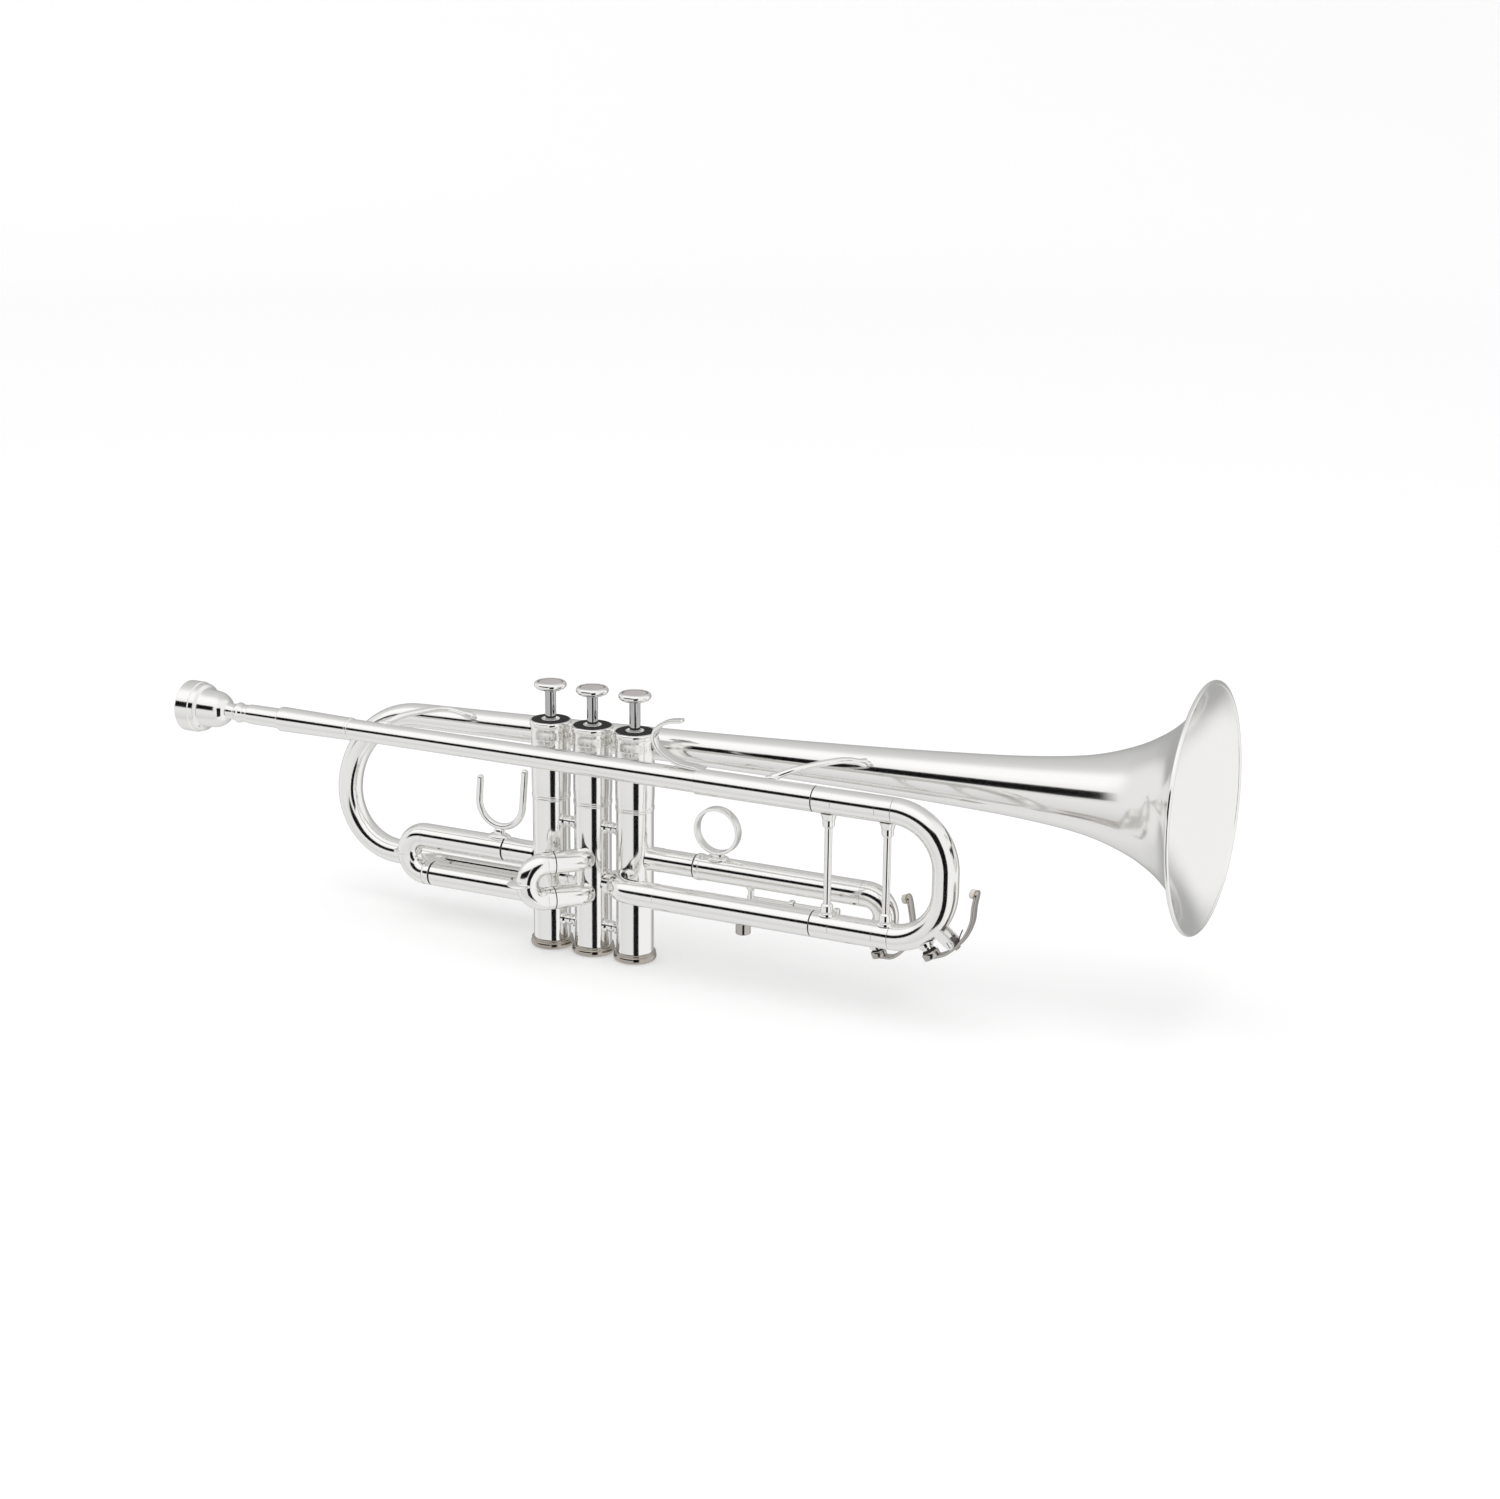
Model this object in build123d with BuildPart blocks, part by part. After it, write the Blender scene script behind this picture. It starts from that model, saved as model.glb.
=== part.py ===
from build123d import *
from math import cos, hypot, pi, radians, sin
import os

# Piston trumpet: a solid for each physical piece, in millimetres.
# Frame: origin on the second valve's axis at mid-casing, +X towards the bell,
# +Y towards the player's left, +Z up.  The leadpipe and the main tuning slide
# are on the -Y side, the bell is on the +Y side.

# ---- driving dimensions -------------------------------------------------
# Tubing: bore, telescoping inner leg, outer sleeve
BORE = 5.85
INNER_LEG = 6.15
RUNNING_GAP = 0.05
SLEEVE = 6.57
SLEEVE_BORE = INNER_LEG + RUNNING_GAP
SLIDE_GAP = 0.6
LINE_DEPTH = 0.18
LINE_WIDTH = 0.3
LINE_REACH = 0.5
JOINT_HALF = SLIDE_GAP * 2 / 3
SADDLE_WALL = 0.7
SADDLE = SLEEVE + SADDLE_WALL
WHOLE_CASING = 200
TUBE_ROOT = 7

# Valves
VALVE_PITCH = 24.7
VALVE_X = (-VALVE_PITCH, 0.0, VALVE_PITCH)
CASING = 9.8
CASING_BORE = 8.5
PISTON = 8.42
PISTON_WELL = 5.5
PISTON_WELL_DEPTH = 10
STEM_SOCKET = 2
PORTED_BOTTOM = -42.0
PORTED_TOP = 20.0
BARREL_TOP = 54.0
BALUSTER = 10.2
BALUSTER_FOOT = 21.2
CASING_BOTTOM = -60.0
CASING_TOP = 57.0
THREAD = 9.3
SHOULDER_LOW = -57.6
SHOULDER_HIGH = 51.5
STEM = 2.85
FELT_TOP = 61.4
FELT_FLOOR = 59.4
FELT = 9.95
FELT_HOLE = 4.9
STEM_HOLE = 2.92
BUTTON_LOW = 76.6
BUTTON_HIGH = 81.5
PEARL = 6.6
PEARL_SEAT = 80.3
PEARL_HEIGHT = 1.0
GUIDE_LOW = 21.0
GUIDE_HEIGHT = 3.0
GUIDE_SPAN = 18.2
GUIDE_RING = 6.4
GUIDE_HOLE = 3.2
GUIDE_WINDOW = 20
SPRING_WIRE = 0.45

# Leadpipe and main tuning slide
LEAD_Y = -25.8
LEAD_Z = 48.0
SLIDE_SPACING = 64.3
LOWER_Z = LEAD_Z - SLIDE_SPACING
UPPER_SLEEVE_X = 73.5
LOWER_SLEEVE_X = 71.5
MAIN_JOINT_X = 137.5
ELBOW_TUBE = 6.3
ELBOW_TAIL = 6.4
SPIGOT = 6.0
BRACE_SHAFT = 1.9
CROOK_START_X = 179.5
CROOK_END_X = 206.9
CORNER = CROOK_END_X - CROOK_START_X
MOUTH_X = -236.5
RECEIVER_X = -175.4
RECEIVER_END_X = -130.7
SHANK_TIP_X = -149.5

# Bell and bell bow; their centre line lies in one plane that leans to +Y
BOW_LEG = Vector(0, 18.0, -32.5)
BELL_LEAN = 6.2
BOW_LEFT_X = -164.5
BOW_LOW_RADIUS = 33.1
BOW_HIGH_RADIUS = 43.9
BELL_TILT = 1.35
BELL_RIM_X = 317.3
BELL_WALL = 0.55
BOW_TUBE = 6.6
BOW_BORE = 6.1
ENTRY_BEND = 9.5
RIM_BEAD = 1.15

# Valve slides: upper and lower leg heights, joints and crook ends
FIRST_UPPER_Z = -13.9
FIRST_LOWER_Z = -34.7
FIRST_UPPER_JOINT_X = -52.4
FIRST_FERRULE_X = -47.2
FIRST_STUB = 6.35
FIRST_LOWER_JOINT_X = -97.6
FIRST_CROOK_X = -102.4
FIRST_NUB_X = -114.6
SECOND_UPPER_Z = -8.4
SECOND_LOWER_Z = -27.5
SECOND_ANGLE = 42.0
SECOND_ELBOW_Y = -11.8
SECOND_JOINT = 15.5
SECOND_FERRULE = 20.0
SECOND_REACH = 29.8
SECOND_TUBE = 5.95
SECOND_ROOT = 4.0
SECOND_STUB = 5.8
SECOND_LEG = 5.5
SECOND_BORE = 5.1
NUB_RADIUS = 7.2
NUB_HALF = 1.4
NUB_EDGE = 0.4
THIRD_UPPER_Z = -6.1
THIRD_LOWER_Z = -26.9
THIRD_UPPER_JOINT_X = 60.8
THIRD_LOWER_JOINT_X = 146.0
THIRD_CROOK_X = 155.6
KNUCKLE_Z = -23.0
KNUCKLE = 6.3
KNUCKLE_HALF = 5.5
KNUCKLE_BEAD = 6.9
KNUCKLE_BEAD_HALF = 0.8

# Water keys
HINGE_PIN = 0.9
HINGE_GAP = 0.07
EAR_END = 1.9
EAR_SPAN = 9.6
EAR_GAP = 3.2
EAR_INSIDE = 6.2
THIRD_EAR_END = 1.7
THIRD_EAR_SPAN = 8.8
THIRD_EAR_GAP = 3.0
THIRD_EAR_INSIDE = 5.8
LEVER_WIDTH = 5.4
LEVER_THICKNESS = 1.5
THIRD_LEVER_WIDTH = 5.0
THIRD_LEVER_THICKNESS = 1.4
LEVER_BARREL = 2.1
THIRD_LEVER_BARREL = 1.9
LEVER_WEB = 1.6
THIRD_LEVER_WEB = 1.5
BARREL_PLAY = 0.2

os.makedirs("parts", exist_ok=True)


# ---- shared construction ------------------------------------------------
def ring(plane, outer, inner=0.0):
    """Sketch of a round section, hollow when an inner radius is given."""
    with BuildSketch(plane) as section:
        Circle(outer)
        if inner > 0:
            Circle(inner, mode=Mode.SUBTRACT)
    return section.sketch


def tube_x(x_from, x_to, y, z, outer, inner=0.0, mode=Mode.ADD):
    """Straight tube or rod along X."""
    plane = Plane(origin=(x_from, y, z), x_dir=(0, 1, 0), z_dir=(1, 0, 0))
    extrude(ring(plane, outer, inner), amount=x_to - x_from, mode=mode)


def rod(start, end, radius, mode=Mode.ADD):
    """Straight round rod between two points."""
    run = Vector(*end) - Vector(*start)
    plane = Plane(origin=start, z_dir=run.normalized())
    extrude(ring(plane, radius), amount=run.length, mode=mode)


def pipe(line, outer, inner=0.0):
    """Tube or rod of constant section along a path."""
    plane = Plane(origin=line @ 0, z_dir=line % 0)
    sweep(ring(plane, outer, inner), path=line)


def bore_pipe(line, radius):
    """Clear the bore along a path."""
    plane = Plane(origin=line @ 0, z_dir=line % 0)
    sweep(ring(plane, radius), path=line, mode=Mode.SUBTRACT)


def nub_outline(middle):
    """Lens-shaped pull nub, from (radius, z) points, at a height."""
    return [
        (0, middle - NUB_HALF),
        (NUB_RADIUS - 2.2, middle - NUB_HALF),
        (NUB_RADIUS - 0.4, middle - NUB_EDGE),
        (NUB_RADIUS, middle),
        (NUB_RADIUS - 0.4, middle + NUB_EDGE),
        (NUB_RADIUS - 2.2, middle + NUB_HALF),
        (0, middle + NUB_HALF),
    ]


def strip(line, width, thickness):
    """Flat strip, its width along Y, along a path in an XZ plane."""
    with BuildSketch(Plane(origin=line @ 0, x_dir=(0, 1, 0), z_dir=line % 0)) as section:
        RectangleRounded(width, thickness, thickness * 0.3)
    sweep(section.sketch, path=line)


def turned_x(points, y, z, mode=Mode.ADD):
    """Piece turned about an axis along X, from (x, radius) points."""
    with BuildSketch(Plane(origin=(0, y, z), x_dir=(1, 0, 0), z_dir=(0, 0, 1))) as section:
        with BuildLine():
            Polyline(*points, close=True)
        make_face()
    revolve(section.sketch, axis=Axis((0, y, z), (1, 0, 0)), mode=mode)


def turned_z(points, x, y=0.0, mode=Mode.ADD):
    """Piece turned about a vertical axis, from (radius, z) points."""
    with BuildSketch(Plane(origin=(x, y, 0), x_dir=(1, 0, 0), z_dir=(0, -1, 0))) as section:
        with BuildLine():
            Polyline(*points, close=True)
        make_face()
    revolve(section.sketch, axis=Axis((x, y, 0), (0, 0, 1)), mode=mode)


def joint_line(x, y, z, radius):
    """Fine groove that shows where one tube piece meets the next."""
    tube_x(x, x + LINE_WIDTH, y, z, radius + LINE_REACH, radius - LINE_DEPTH, mode=Mode.SUBTRACT)


def clear_casing(x):
    """Cut a tube end to the outside of a valve casing."""
    with Locations((x, 0, 0)):
        Cylinder(CASING, WHOLE_CASING, mode=Mode.SUBTRACT)


def u_bend(x, y, z_high, z_low, towards):
    """Half-round path between two legs; towards is +1 or -1 along X."""
    middle = (z_high + z_low) / 2
    radius = (z_high - z_low) / 2
    with BuildLine() as path:
        ThreePointArc((x, y, z_high), (x + towards * radius, y, middle), (x, y, z_low))
    return path.line


def finish(part, label):
    """Name a finished piece and write its STEP file."""
    part.label = label
    export_step(part, "parts/" + label + ".step")


# ---- valves -------------------------------------------------------------
# Ports of each casing: direction from the valve axis in degrees, and height
PORTS = {
    1: ((180, FIRST_UPPER_Z), (180, FIRST_LOWER_Z), (90, BOW_LEG.Z), (0, KNUCKLE_Z)),
    2: ((180, KNUCKLE_Z), (0, KNUCKLE_Z), (-90, SECOND_UPPER_Z), (-90, SECOND_LOWER_Z)),
    3: ((180, KNUCKLE_Z), (0, THIRD_UPPER_Z), (0, THIRD_LOWER_Z), (-90, LOWER_Z)),
}
PORT_RADIUS = 5.2

for number, valve_x in enumerate(VALVE_X, start=1):
    with BuildPart() as casing:
        turned_z(
            [
                (CASING_BORE, CASING_BOTTOM),
                (THREAD, CASING_BOTTOM),
                (THREAD, SHOULDER_LOW),
                (CASING, SHOULDER_LOW),
                (CASING, BALUSTER_FOOT - 1.7),
                (BALUSTER + 0.15, BALUSTER_FOOT - 1.4),
                (BALUSTER + 0.15, BALUSTER_FOOT - 0.3),
                (BALUSTER, BALUSTER_FOOT),
                (BALUSTER, SHOULDER_HIGH),
                (THREAD, SHOULDER_HIGH),
                (THREAD, CASING_TOP),
                (CASING_BORE, CASING_TOP),
            ],
            valve_x,
        )
        for angle, height in PORTS[number]:
            away = Vector(cos(radians(angle)), sin(radians(angle)), 0)
            start = Vector(valve_x, 0, height) + away * 5
            rod(tuple(start), tuple(start + away * 8), PORT_RADIUS, mode=Mode.SUBTRACT)
        with Locations((valve_x, 0, GUIDE_LOW + GUIDE_HEIGHT / 2)):
            Box(GUIDE_SPAN, GUIDE_HEIGHT, GUIDE_HEIGHT, mode=Mode.SUBTRACT)
    finish(casing.part, f"valve_casing_{number}")

    with BuildPart() as piston:
        with Locations((valve_x, 0, (PORTED_BOTTOM + PORTED_TOP) / 2)):
            Cylinder(PISTON, PORTED_TOP - PORTED_BOTTOM)
        for angle, height in PORTS[number]:
            away = Vector(cos(radians(angle)), sin(radians(angle)), 0)
            start = Vector(valve_x, 0, height)
            rod(tuple(start), tuple(start + away * 9), PORT_RADIUS, mode=Mode.SUBTRACT)
        turned_z(
            [
                (7.7, PORTED_TOP),
                (PISTON, PORTED_TOP),
                (PISTON, BARREL_TOP),
                (0, BARREL_TOP),
                (0, BARREL_TOP - 2),
                (7.7, BARREL_TOP - 2),
            ],
            valve_x,
        )
        with Locations((valve_x, 0, GUIDE_LOW + 9.5)):
            Box(GUIDE_WINDOW, GUIDE_HEIGHT + 0.3, GUIDE_WINDOW, mode=Mode.SUBTRACT)
        with Locations((valve_x, 0, PORTED_BOTTOM)):
            Cylinder(PISTON_WELL, PISTON_WELL_DEPTH, mode=Mode.SUBTRACT)
    finish(piston.part, f"piston_{number}")

    with BuildPart() as stem:
        with Locations((valve_x, 0, (BARREL_TOP + BUTTON_LOW + STEM_SOCKET) / 2)):
            Cylinder(STEM, BUTTON_LOW + STEM_SOCKET - BARREL_TOP)
    finish(stem.part, f"valve_stem_{number}")

    with BuildPart() as button:
        with BuildSketch(Plane(origin=(valve_x, 0, 0), x_dir=(1, 0, 0), z_dir=(0, -1, 0))):
            with BuildLine():
                Polyline((STEM, BUTTON_LOW), (5.2, BUTTON_LOW), (7.6, 78.1))
                ThreePointArc((7.6, 78.1), (8.5, 79.4), (7.2, BUTTON_HIGH))
                Polyline((7.2, BUTTON_HIGH), (PEARL, 81.3), (PEARL, PEARL_SEAT), (0, PEARL_SEAT))
                Polyline((0, PEARL_SEAT), (0, BUTTON_LOW + STEM_SOCKET), (STEM, BUTTON_LOW + STEM_SOCKET))
                Line((STEM, BUTTON_LOW + STEM_SOCKET), (STEM, BUTTON_LOW))
            make_face()
        revolve(axis=Axis((valve_x, 0, 0), (0, 0, 1)))
    finish(button.part, f"finger_button_{number}")

    with BuildPart() as pearl:
        with Locations((valve_x, 0, PEARL_SEAT)):
            Cylinder(PEARL, PEARL_HEIGHT, align=(Align.CENTER, Align.CENTER, Align.MIN))
        fillet(pearl.edges().group_by(Axis.Z)[-1], PEARL_HEIGHT / 4)
    finish(pearl.part, f"button_pearl_{number}")

    with BuildPart() as spring:
        spring_low = GUIDE_LOW + GUIDE_HEIGHT + 0.55
        with BuildLine():
            coil = Helix(3.3, BARREL_TOP - 2.6 - spring_low, 5.4, center=(valve_x, 0, spring_low))
        pipe(coil, SPRING_WIRE)
    finish(spring.part, f"valve_spring_{number}")

with BuildPart() as guides:
    for valve_x in VALVE_X:
        middle = GUIDE_LOW + GUIDE_HEIGHT / 2
        with Locations((valve_x, 0, middle)):
            Box(GUIDE_SPAN, GUIDE_HEIGHT, GUIDE_HEIGHT)
            Cylinder(GUIDE_RING, GUIDE_HEIGHT)
            Cylinder(GUIDE_HOLE, GUIDE_HEIGHT, mode=Mode.SUBTRACT)
finish(guides.part, "valve_guides")

with BuildPart() as top_caps:
    for valve_x in VALVE_X:
        turned_z(
            [
                (THREAD, SHOULDER_HIGH),
                (10.4, SHOULDER_HIGH),
                (10.3, 54.0),
                (10.25, 56.2),
                (10.4, 57.4),
                (10.35, 57.9),
                (10.75, 58.2),
                (11.0, 58.7),
                (11.0, 60.3),
                (10.7, 60.85),
                (FELT, 61.2),
                (FELT, FELT_FLOOR),
                (FELT_HOLE, FELT_FLOOR),
                (FELT_HOLE, 61.6),
                (4.4, 61.6),
                (4.1, 60.9),
                (STEM_HOLE, 60.9),
                (STEM_HOLE, CASING_TOP),
                (THREAD, CASING_TOP),
            ],
            valve_x,
        )
finish(top_caps.part, "top_valve_caps")

with BuildPart() as cap_felts:
    for valve_x in VALVE_X:
        with Locations((valve_x, 0, (FELT_FLOOR + FELT_TOP) / 2)):
            Cylinder(FELT, FELT_TOP - FELT_FLOOR)
            Cylinder(FELT_HOLE, FELT_TOP - FELT_FLOOR, mode=Mode.SUBTRACT)
        turned_z(
            [(4.0, BARREL_TOP + 0.1), (7.2, BARREL_TOP + 0.1), (7.2, CASING_TOP), (4.0, CASING_TOP)],
            valve_x,
        )
finish(cap_felts.part, "valve_felts")

with BuildPart() as bottom_caps:
    for valve_x in VALVE_X:
        turned_z(
            [
                (THREAD, SHOULDER_LOW),
                (10.6, SHOULDER_LOW),
                (10.95, -57.9),
                (10.95, -58.5),
                (10.8, -58.9),
                (11.2, -59.3),
                (11.35, -60.2),
                (11.25, -61.2),
                (10.8, -62.0),
                (10.1, -62.5),
                (2.0, -62.5),
                (2.0, CASING_BOTTOM),
                (THREAD, CASING_BOTTOM),
            ],
            valve_x,
        )
finish(bottom_caps.part, "bottom_valve_caps")

SPOOL_HEIGHTS = (8.0, -46.0)
SPOOL_Y = -2.5
SPOOL_HALF = 4.0
SPOOL_WAIST = 2.6
SPOOL_BEAD = 3.1
SPOOL_BEAD_HALF = 0.6
SPOOL_FOOT = 3.6
SPOOL_FOOT_FROM = 0.48
with BuildPart() as casing_braces:
    for gap_x in (-VALVE_PITCH / 2, VALVE_PITCH / 2):
        for height in SPOOL_HEIGHTS:
            tube_x(gap_x - SPOOL_HALF, gap_x + SPOOL_HALF, SPOOL_Y, height, SPOOL_WAIST)
            tube_x(gap_x - SPOOL_BEAD_HALF, gap_x + SPOOL_BEAD_HALF, SPOOL_Y, height, SPOOL_BEAD)
            for end in (-SPOOL_HALF, SPOOL_HALF):
                tube_x(gap_x + end, gap_x + end * SPOOL_FOOT_FROM, SPOOL_Y, height, SPOOL_FOOT)
    for valve_x in VALVE_X:
        clear_casing(valve_x)
finish(casing_braces.part, "casing_braces")

with BuildPart() as knuckles:
    for gap_x in (-VALVE_PITCH / 2, VALVE_PITCH / 2):
        tube_x(gap_x - KNUCKLE_HALF, gap_x + KNUCKLE_HALF, 0, KNUCKLE_Z, KNUCKLE, PORT_RADIUS)
        tube_x(gap_x - KNUCKLE_BEAD_HALF, gap_x + KNUCKLE_BEAD_HALF, 0, KNUCKLE_Z, KNUCKLE_BEAD, PORT_RADIUS)
    for valve_x in VALVE_X:
        clear_casing(valve_x)
finish(knuckles.part, "crossover_knuckles")

# ---- mouthpiece, receiver and leadpipe ----------------------------------
with BuildPart() as mouthpiece:
    with BuildSketch(Plane(origin=(MOUTH_X, LEAD_Y, LEAD_Z), x_dir=(1, 0, 0), z_dir=(0, 0, 1))):
        with BuildLine():
            ThreePointArc((0.9, 8.6), (0, 10.9), (1.0, 13.4))
            Polyline((1.0, 13.4), (1.3, 13.75), (8.8, 13.75), (9.2, 13.1), (12.0, 12.9))
            Polyline((12.0, 12.9), (12.5, 12.3), (12.8, 10.5))
            Line((12.8, 10.5), (17.6, 10.05))
            ThreePointArc((17.6, 10.05), (24.4, 8.1), (27.3, 4.6))
            Spline((27.3, 4.6), (28.4, 4.35), (30.5, 4.3), (33.0, 4.8))
            ThreePointArc((33.0, 4.8), (34.4, 5.55), (35.8, 4.8))
            tip = SHANK_TIP_X - MOUTH_X
            mouth = RECEIVER_X - MOUTH_X
            Polyline((35.8, 4.8), (37.0, 4.65), (40.4, 4.7), (41.3, 5.2), (43.0, 5.25))
            Polyline((43.0, 5.25), (mouth, 5.3), (tip, 4.75))
            Polyline((tip, 4.75), (tip, 4.3), (42.0, 2.6), (22.0, 1.85), (19.0, 2.2))
            ThreePointArc((19.0, 2.2), (11.0, 7.3), (0.9, 8.6))
        make_face()
    revolve(axis=Axis((0, LEAD_Y, LEAD_Z), (1, 0, 0)))
finish(mouthpiece.part, "mouthpiece")

SOCKET_GAP = 0.04
with BuildPart() as receiver:
    turned_x(
        [
            (RECEIVER_X, 5.3 + SOCKET_GAP),
            (RECEIVER_X, 6.0),
            (RECEIVER_X + 0.9, 6.55),
            (RECEIVER_X + 3.0, 6.6),
            (RECEIVER_END_X - 1.6, 5.95),
            (RECEIVER_END_X - 1.5, 6.15),
            (RECEIVER_END_X - 0.3, 6.15),
            (RECEIVER_END_X, 5.9),
            (RECEIVER_END_X, 5.0),
            (SHANK_TIP_X + 1.5, 5.0),
            (SHANK_TIP_X + 1.5, 4.75 + SOCKET_GAP),
            (SHANK_TIP_X, 4.75 + SOCKET_GAP),
        ],
        LEAD_Y,
        LEAD_Z,
    )
finish(receiver.part, "mouthpiece_receiver")

HOOK_STRIP = 7.4
HOOK_THICKNESS = 1.5
LEADPIPE_END_X = UPPER_SLEEVE_X + SPIGOT
with BuildPart() as leadpipe:
    turned_x(
        [
            (SHANK_TIP_X + 1.5, 4.4),
            (SHANK_TIP_X + 1.5, 5.0),
            (RECEIVER_END_X, 5.0),
            (RECEIVER_END_X, 5.55),
            (UPPER_SLEEVE_X, 5.95),
            (UPPER_SLEEVE_X, SLEEVE_BORE),
            (LEADPIPE_END_X, SLEEVE_BORE),
            (LEADPIPE_END_X, 5.4),
        ],
        LEAD_Y,
        LEAD_Z,
    )
finish(leadpipe.part, "leadpipe")

# ---- main tuning slide --------------------------------------------------
with BuildPart() as main_sleeves:
    tube_x(UPPER_SLEEVE_X, MAIN_JOINT_X, LEAD_Y, LEAD_Z, SLEEVE, SLEEVE_BORE)
    tube_x(LOWER_SLEEVE_X, MAIN_JOINT_X, LEAD_Y, LOWER_Z, SLEEVE, SLEEVE_BORE)
finish(main_sleeves.part, "main_slide_sleeves")

ELBOW_BEND = 12.0
ELBOW_END_X = 41.5
FERRULE_END_X = 51.2
with BuildPart() as third_elbow:
    with BuildLine() as elbow_path:
        corner_y = LEAD_Y + ELBOW_BEND
        Line((VALVE_PITCH, -6.0, LOWER_Z), (VALVE_PITCH, corner_y, LOWER_Z))
        turn = ELBOW_BEND * (1 - cos(pi / 4))
        ThreePointArc(
            (VALVE_PITCH, corner_y, LOWER_Z),
            (VALVE_PITCH + turn, LEAD_Y + turn, LOWER_Z),
            (VALVE_PITCH + ELBOW_BEND, LEAD_Y, LOWER_Z),
        )
        Line((VALVE_PITCH + ELBOW_BEND, LEAD_Y, LOWER_Z), (ELBOW_END_X, LEAD_Y, LOWER_Z))
    pipe(elbow_path.line, ELBOW_TUBE, PORT_RADIUS)
    tube_x(ELBOW_END_X, FERRULE_END_X, LEAD_Y, LOWER_Z, SLEEVE, PORT_RADIUS)
    tube_x(FERRULE_END_X, LOWER_SLEEVE_X, LEAD_Y, LOWER_Z, ELBOW_TAIL, BORE)
    tube_x(LOWER_SLEEVE_X, LOWER_SLEEVE_X + SPIGOT, LEAD_Y, LOWER_Z, SLEEVE_BORE, BORE)
    clear_casing(VALVE_PITCH)
finish(third_elbow.part, "third_valve_elbow")

FERRULE_LINE_X = 148.2
TUBE_LINE_X = 171.4
with BuildPart() as main_legs:
    for leg_z, leg_start in ((LEAD_Z, LEADPIPE_END_X), (LOWER_Z, LOWER_SLEEVE_X + 6)):
        tube_x(leg_start + 4, FERRULE_LINE_X, LEAD_Y, leg_z, INNER_LEG, BORE)
        tube_x(MAIN_JOINT_X + SLIDE_GAP, CROOK_START_X, LEAD_Y, leg_z, SLEEVE, BORE)
        for line_x in (FERRULE_LINE_X, TUBE_LINE_X):
            joint_line(line_x, LEAD_Y, leg_z, SLEEVE)
finish(main_legs.part, "main_slide_legs")

NIPPLE_ANGLE = -57.0
CORNER_CENTRE = Vector(CROOK_START_X, LEAD_Y, LOWER_Z + CORNER)


def radial_point(centre, angle, distance):
    """Point at an angle and distance from a centre, in the XZ plane."""
    return (
        centre.X + distance * cos(radians(angle)),
        centre.Y,
        centre.Z + distance * sin(radians(angle)),
    )


with BuildPart() as main_crook:
    with BuildLine() as crook_path:
        arc_in = CORNER * (1 - cos(pi / 4))
        high_corner = LEAD_Z - CORNER
        low_corner = LOWER_Z + CORNER
        ThreePointArc(
            (CROOK_START_X, LEAD_Y, LEAD_Z),
            (CROOK_END_X - arc_in, LEAD_Y, LEAD_Z - arc_in),
            (CROOK_END_X, LEAD_Y, high_corner),
        )
        Line((CROOK_END_X, LEAD_Y, high_corner), (CROOK_END_X, LEAD_Y, low_corner))
        ThreePointArc(
            (CROOK_END_X, LEAD_Y, low_corner),
            (CROOK_END_X - arc_in, LEAD_Y, LOWER_Z + arc_in),
            (CROOK_START_X, LEAD_Y, LOWER_Z),
        )
    pipe(crook_path.line, SLEEVE, BORE)
finish(main_crook.part, "main_slide_crook")

with BuildPart() as main_nipple:
    rod(
        radial_point(CORNER_CENTRE, NIPPLE_ANGLE, CORNER + 5.0),
        radial_point(CORNER_CENTRE, NIPPLE_ANGLE, CORNER + 9.2),
        3.0,
    )
    rod(
        radial_point(CORNER_CENTRE, NIPPLE_ANGLE, CORNER + 6.0),
        radial_point(CORNER_CENTRE, NIPPLE_ANGLE, CORNER + 8.0),
        3.7,
    )
    for ear_y in (-3.9, 3.9):
        rod(
            radial_point(CORNER_CENTRE + Vector(0, ear_y, 0), -38.0, CORNER + 4.5),
            radial_point(CORNER_CENTRE + Vector(0, ear_y, 0), -38.0, CORNER + 13.4),
            1.3,
        )
    with Locations(Vector(*radial_point(CORNER_CENTRE, -38.0, CORNER + 13.4))):
        Cylinder(EAR_END, EAR_SPAN, rotation=(90, 0, 0))
        Cylinder(EAR_GAP, EAR_INSIDE, rotation=(90, 0, 0), mode=Mode.SUBTRACT)
        Cylinder(HINGE_PIN, EAR_SPAN, rotation=(90, 0, 0))
    with BuildLine() as crook_core:
        ThreePointArc(
            (CROOK_END_X, LEAD_Y, low_corner),
            (CROOK_END_X - arc_in, LEAD_Y, LOWER_Z + arc_in),
            (CROOK_START_X, LEAD_Y, LOWER_Z),
        )
    core_section = ring(Plane(origin=crook_core.line @ 0, z_dir=crook_core.line % 0), SLEEVE)
    sweep(core_section, path=crook_core.line, mode=Mode.SUBTRACT)
    rod(
        radial_point(CORNER_CENTRE, NIPPLE_ANGLE, CORNER),
        radial_point(CORNER_CENTRE, NIPPLE_ANGLE, CORNER + 12),
        1.8,
        mode=Mode.SUBTRACT,
    )
finish(main_nipple.part, "main_water_key_saddle")

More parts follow.
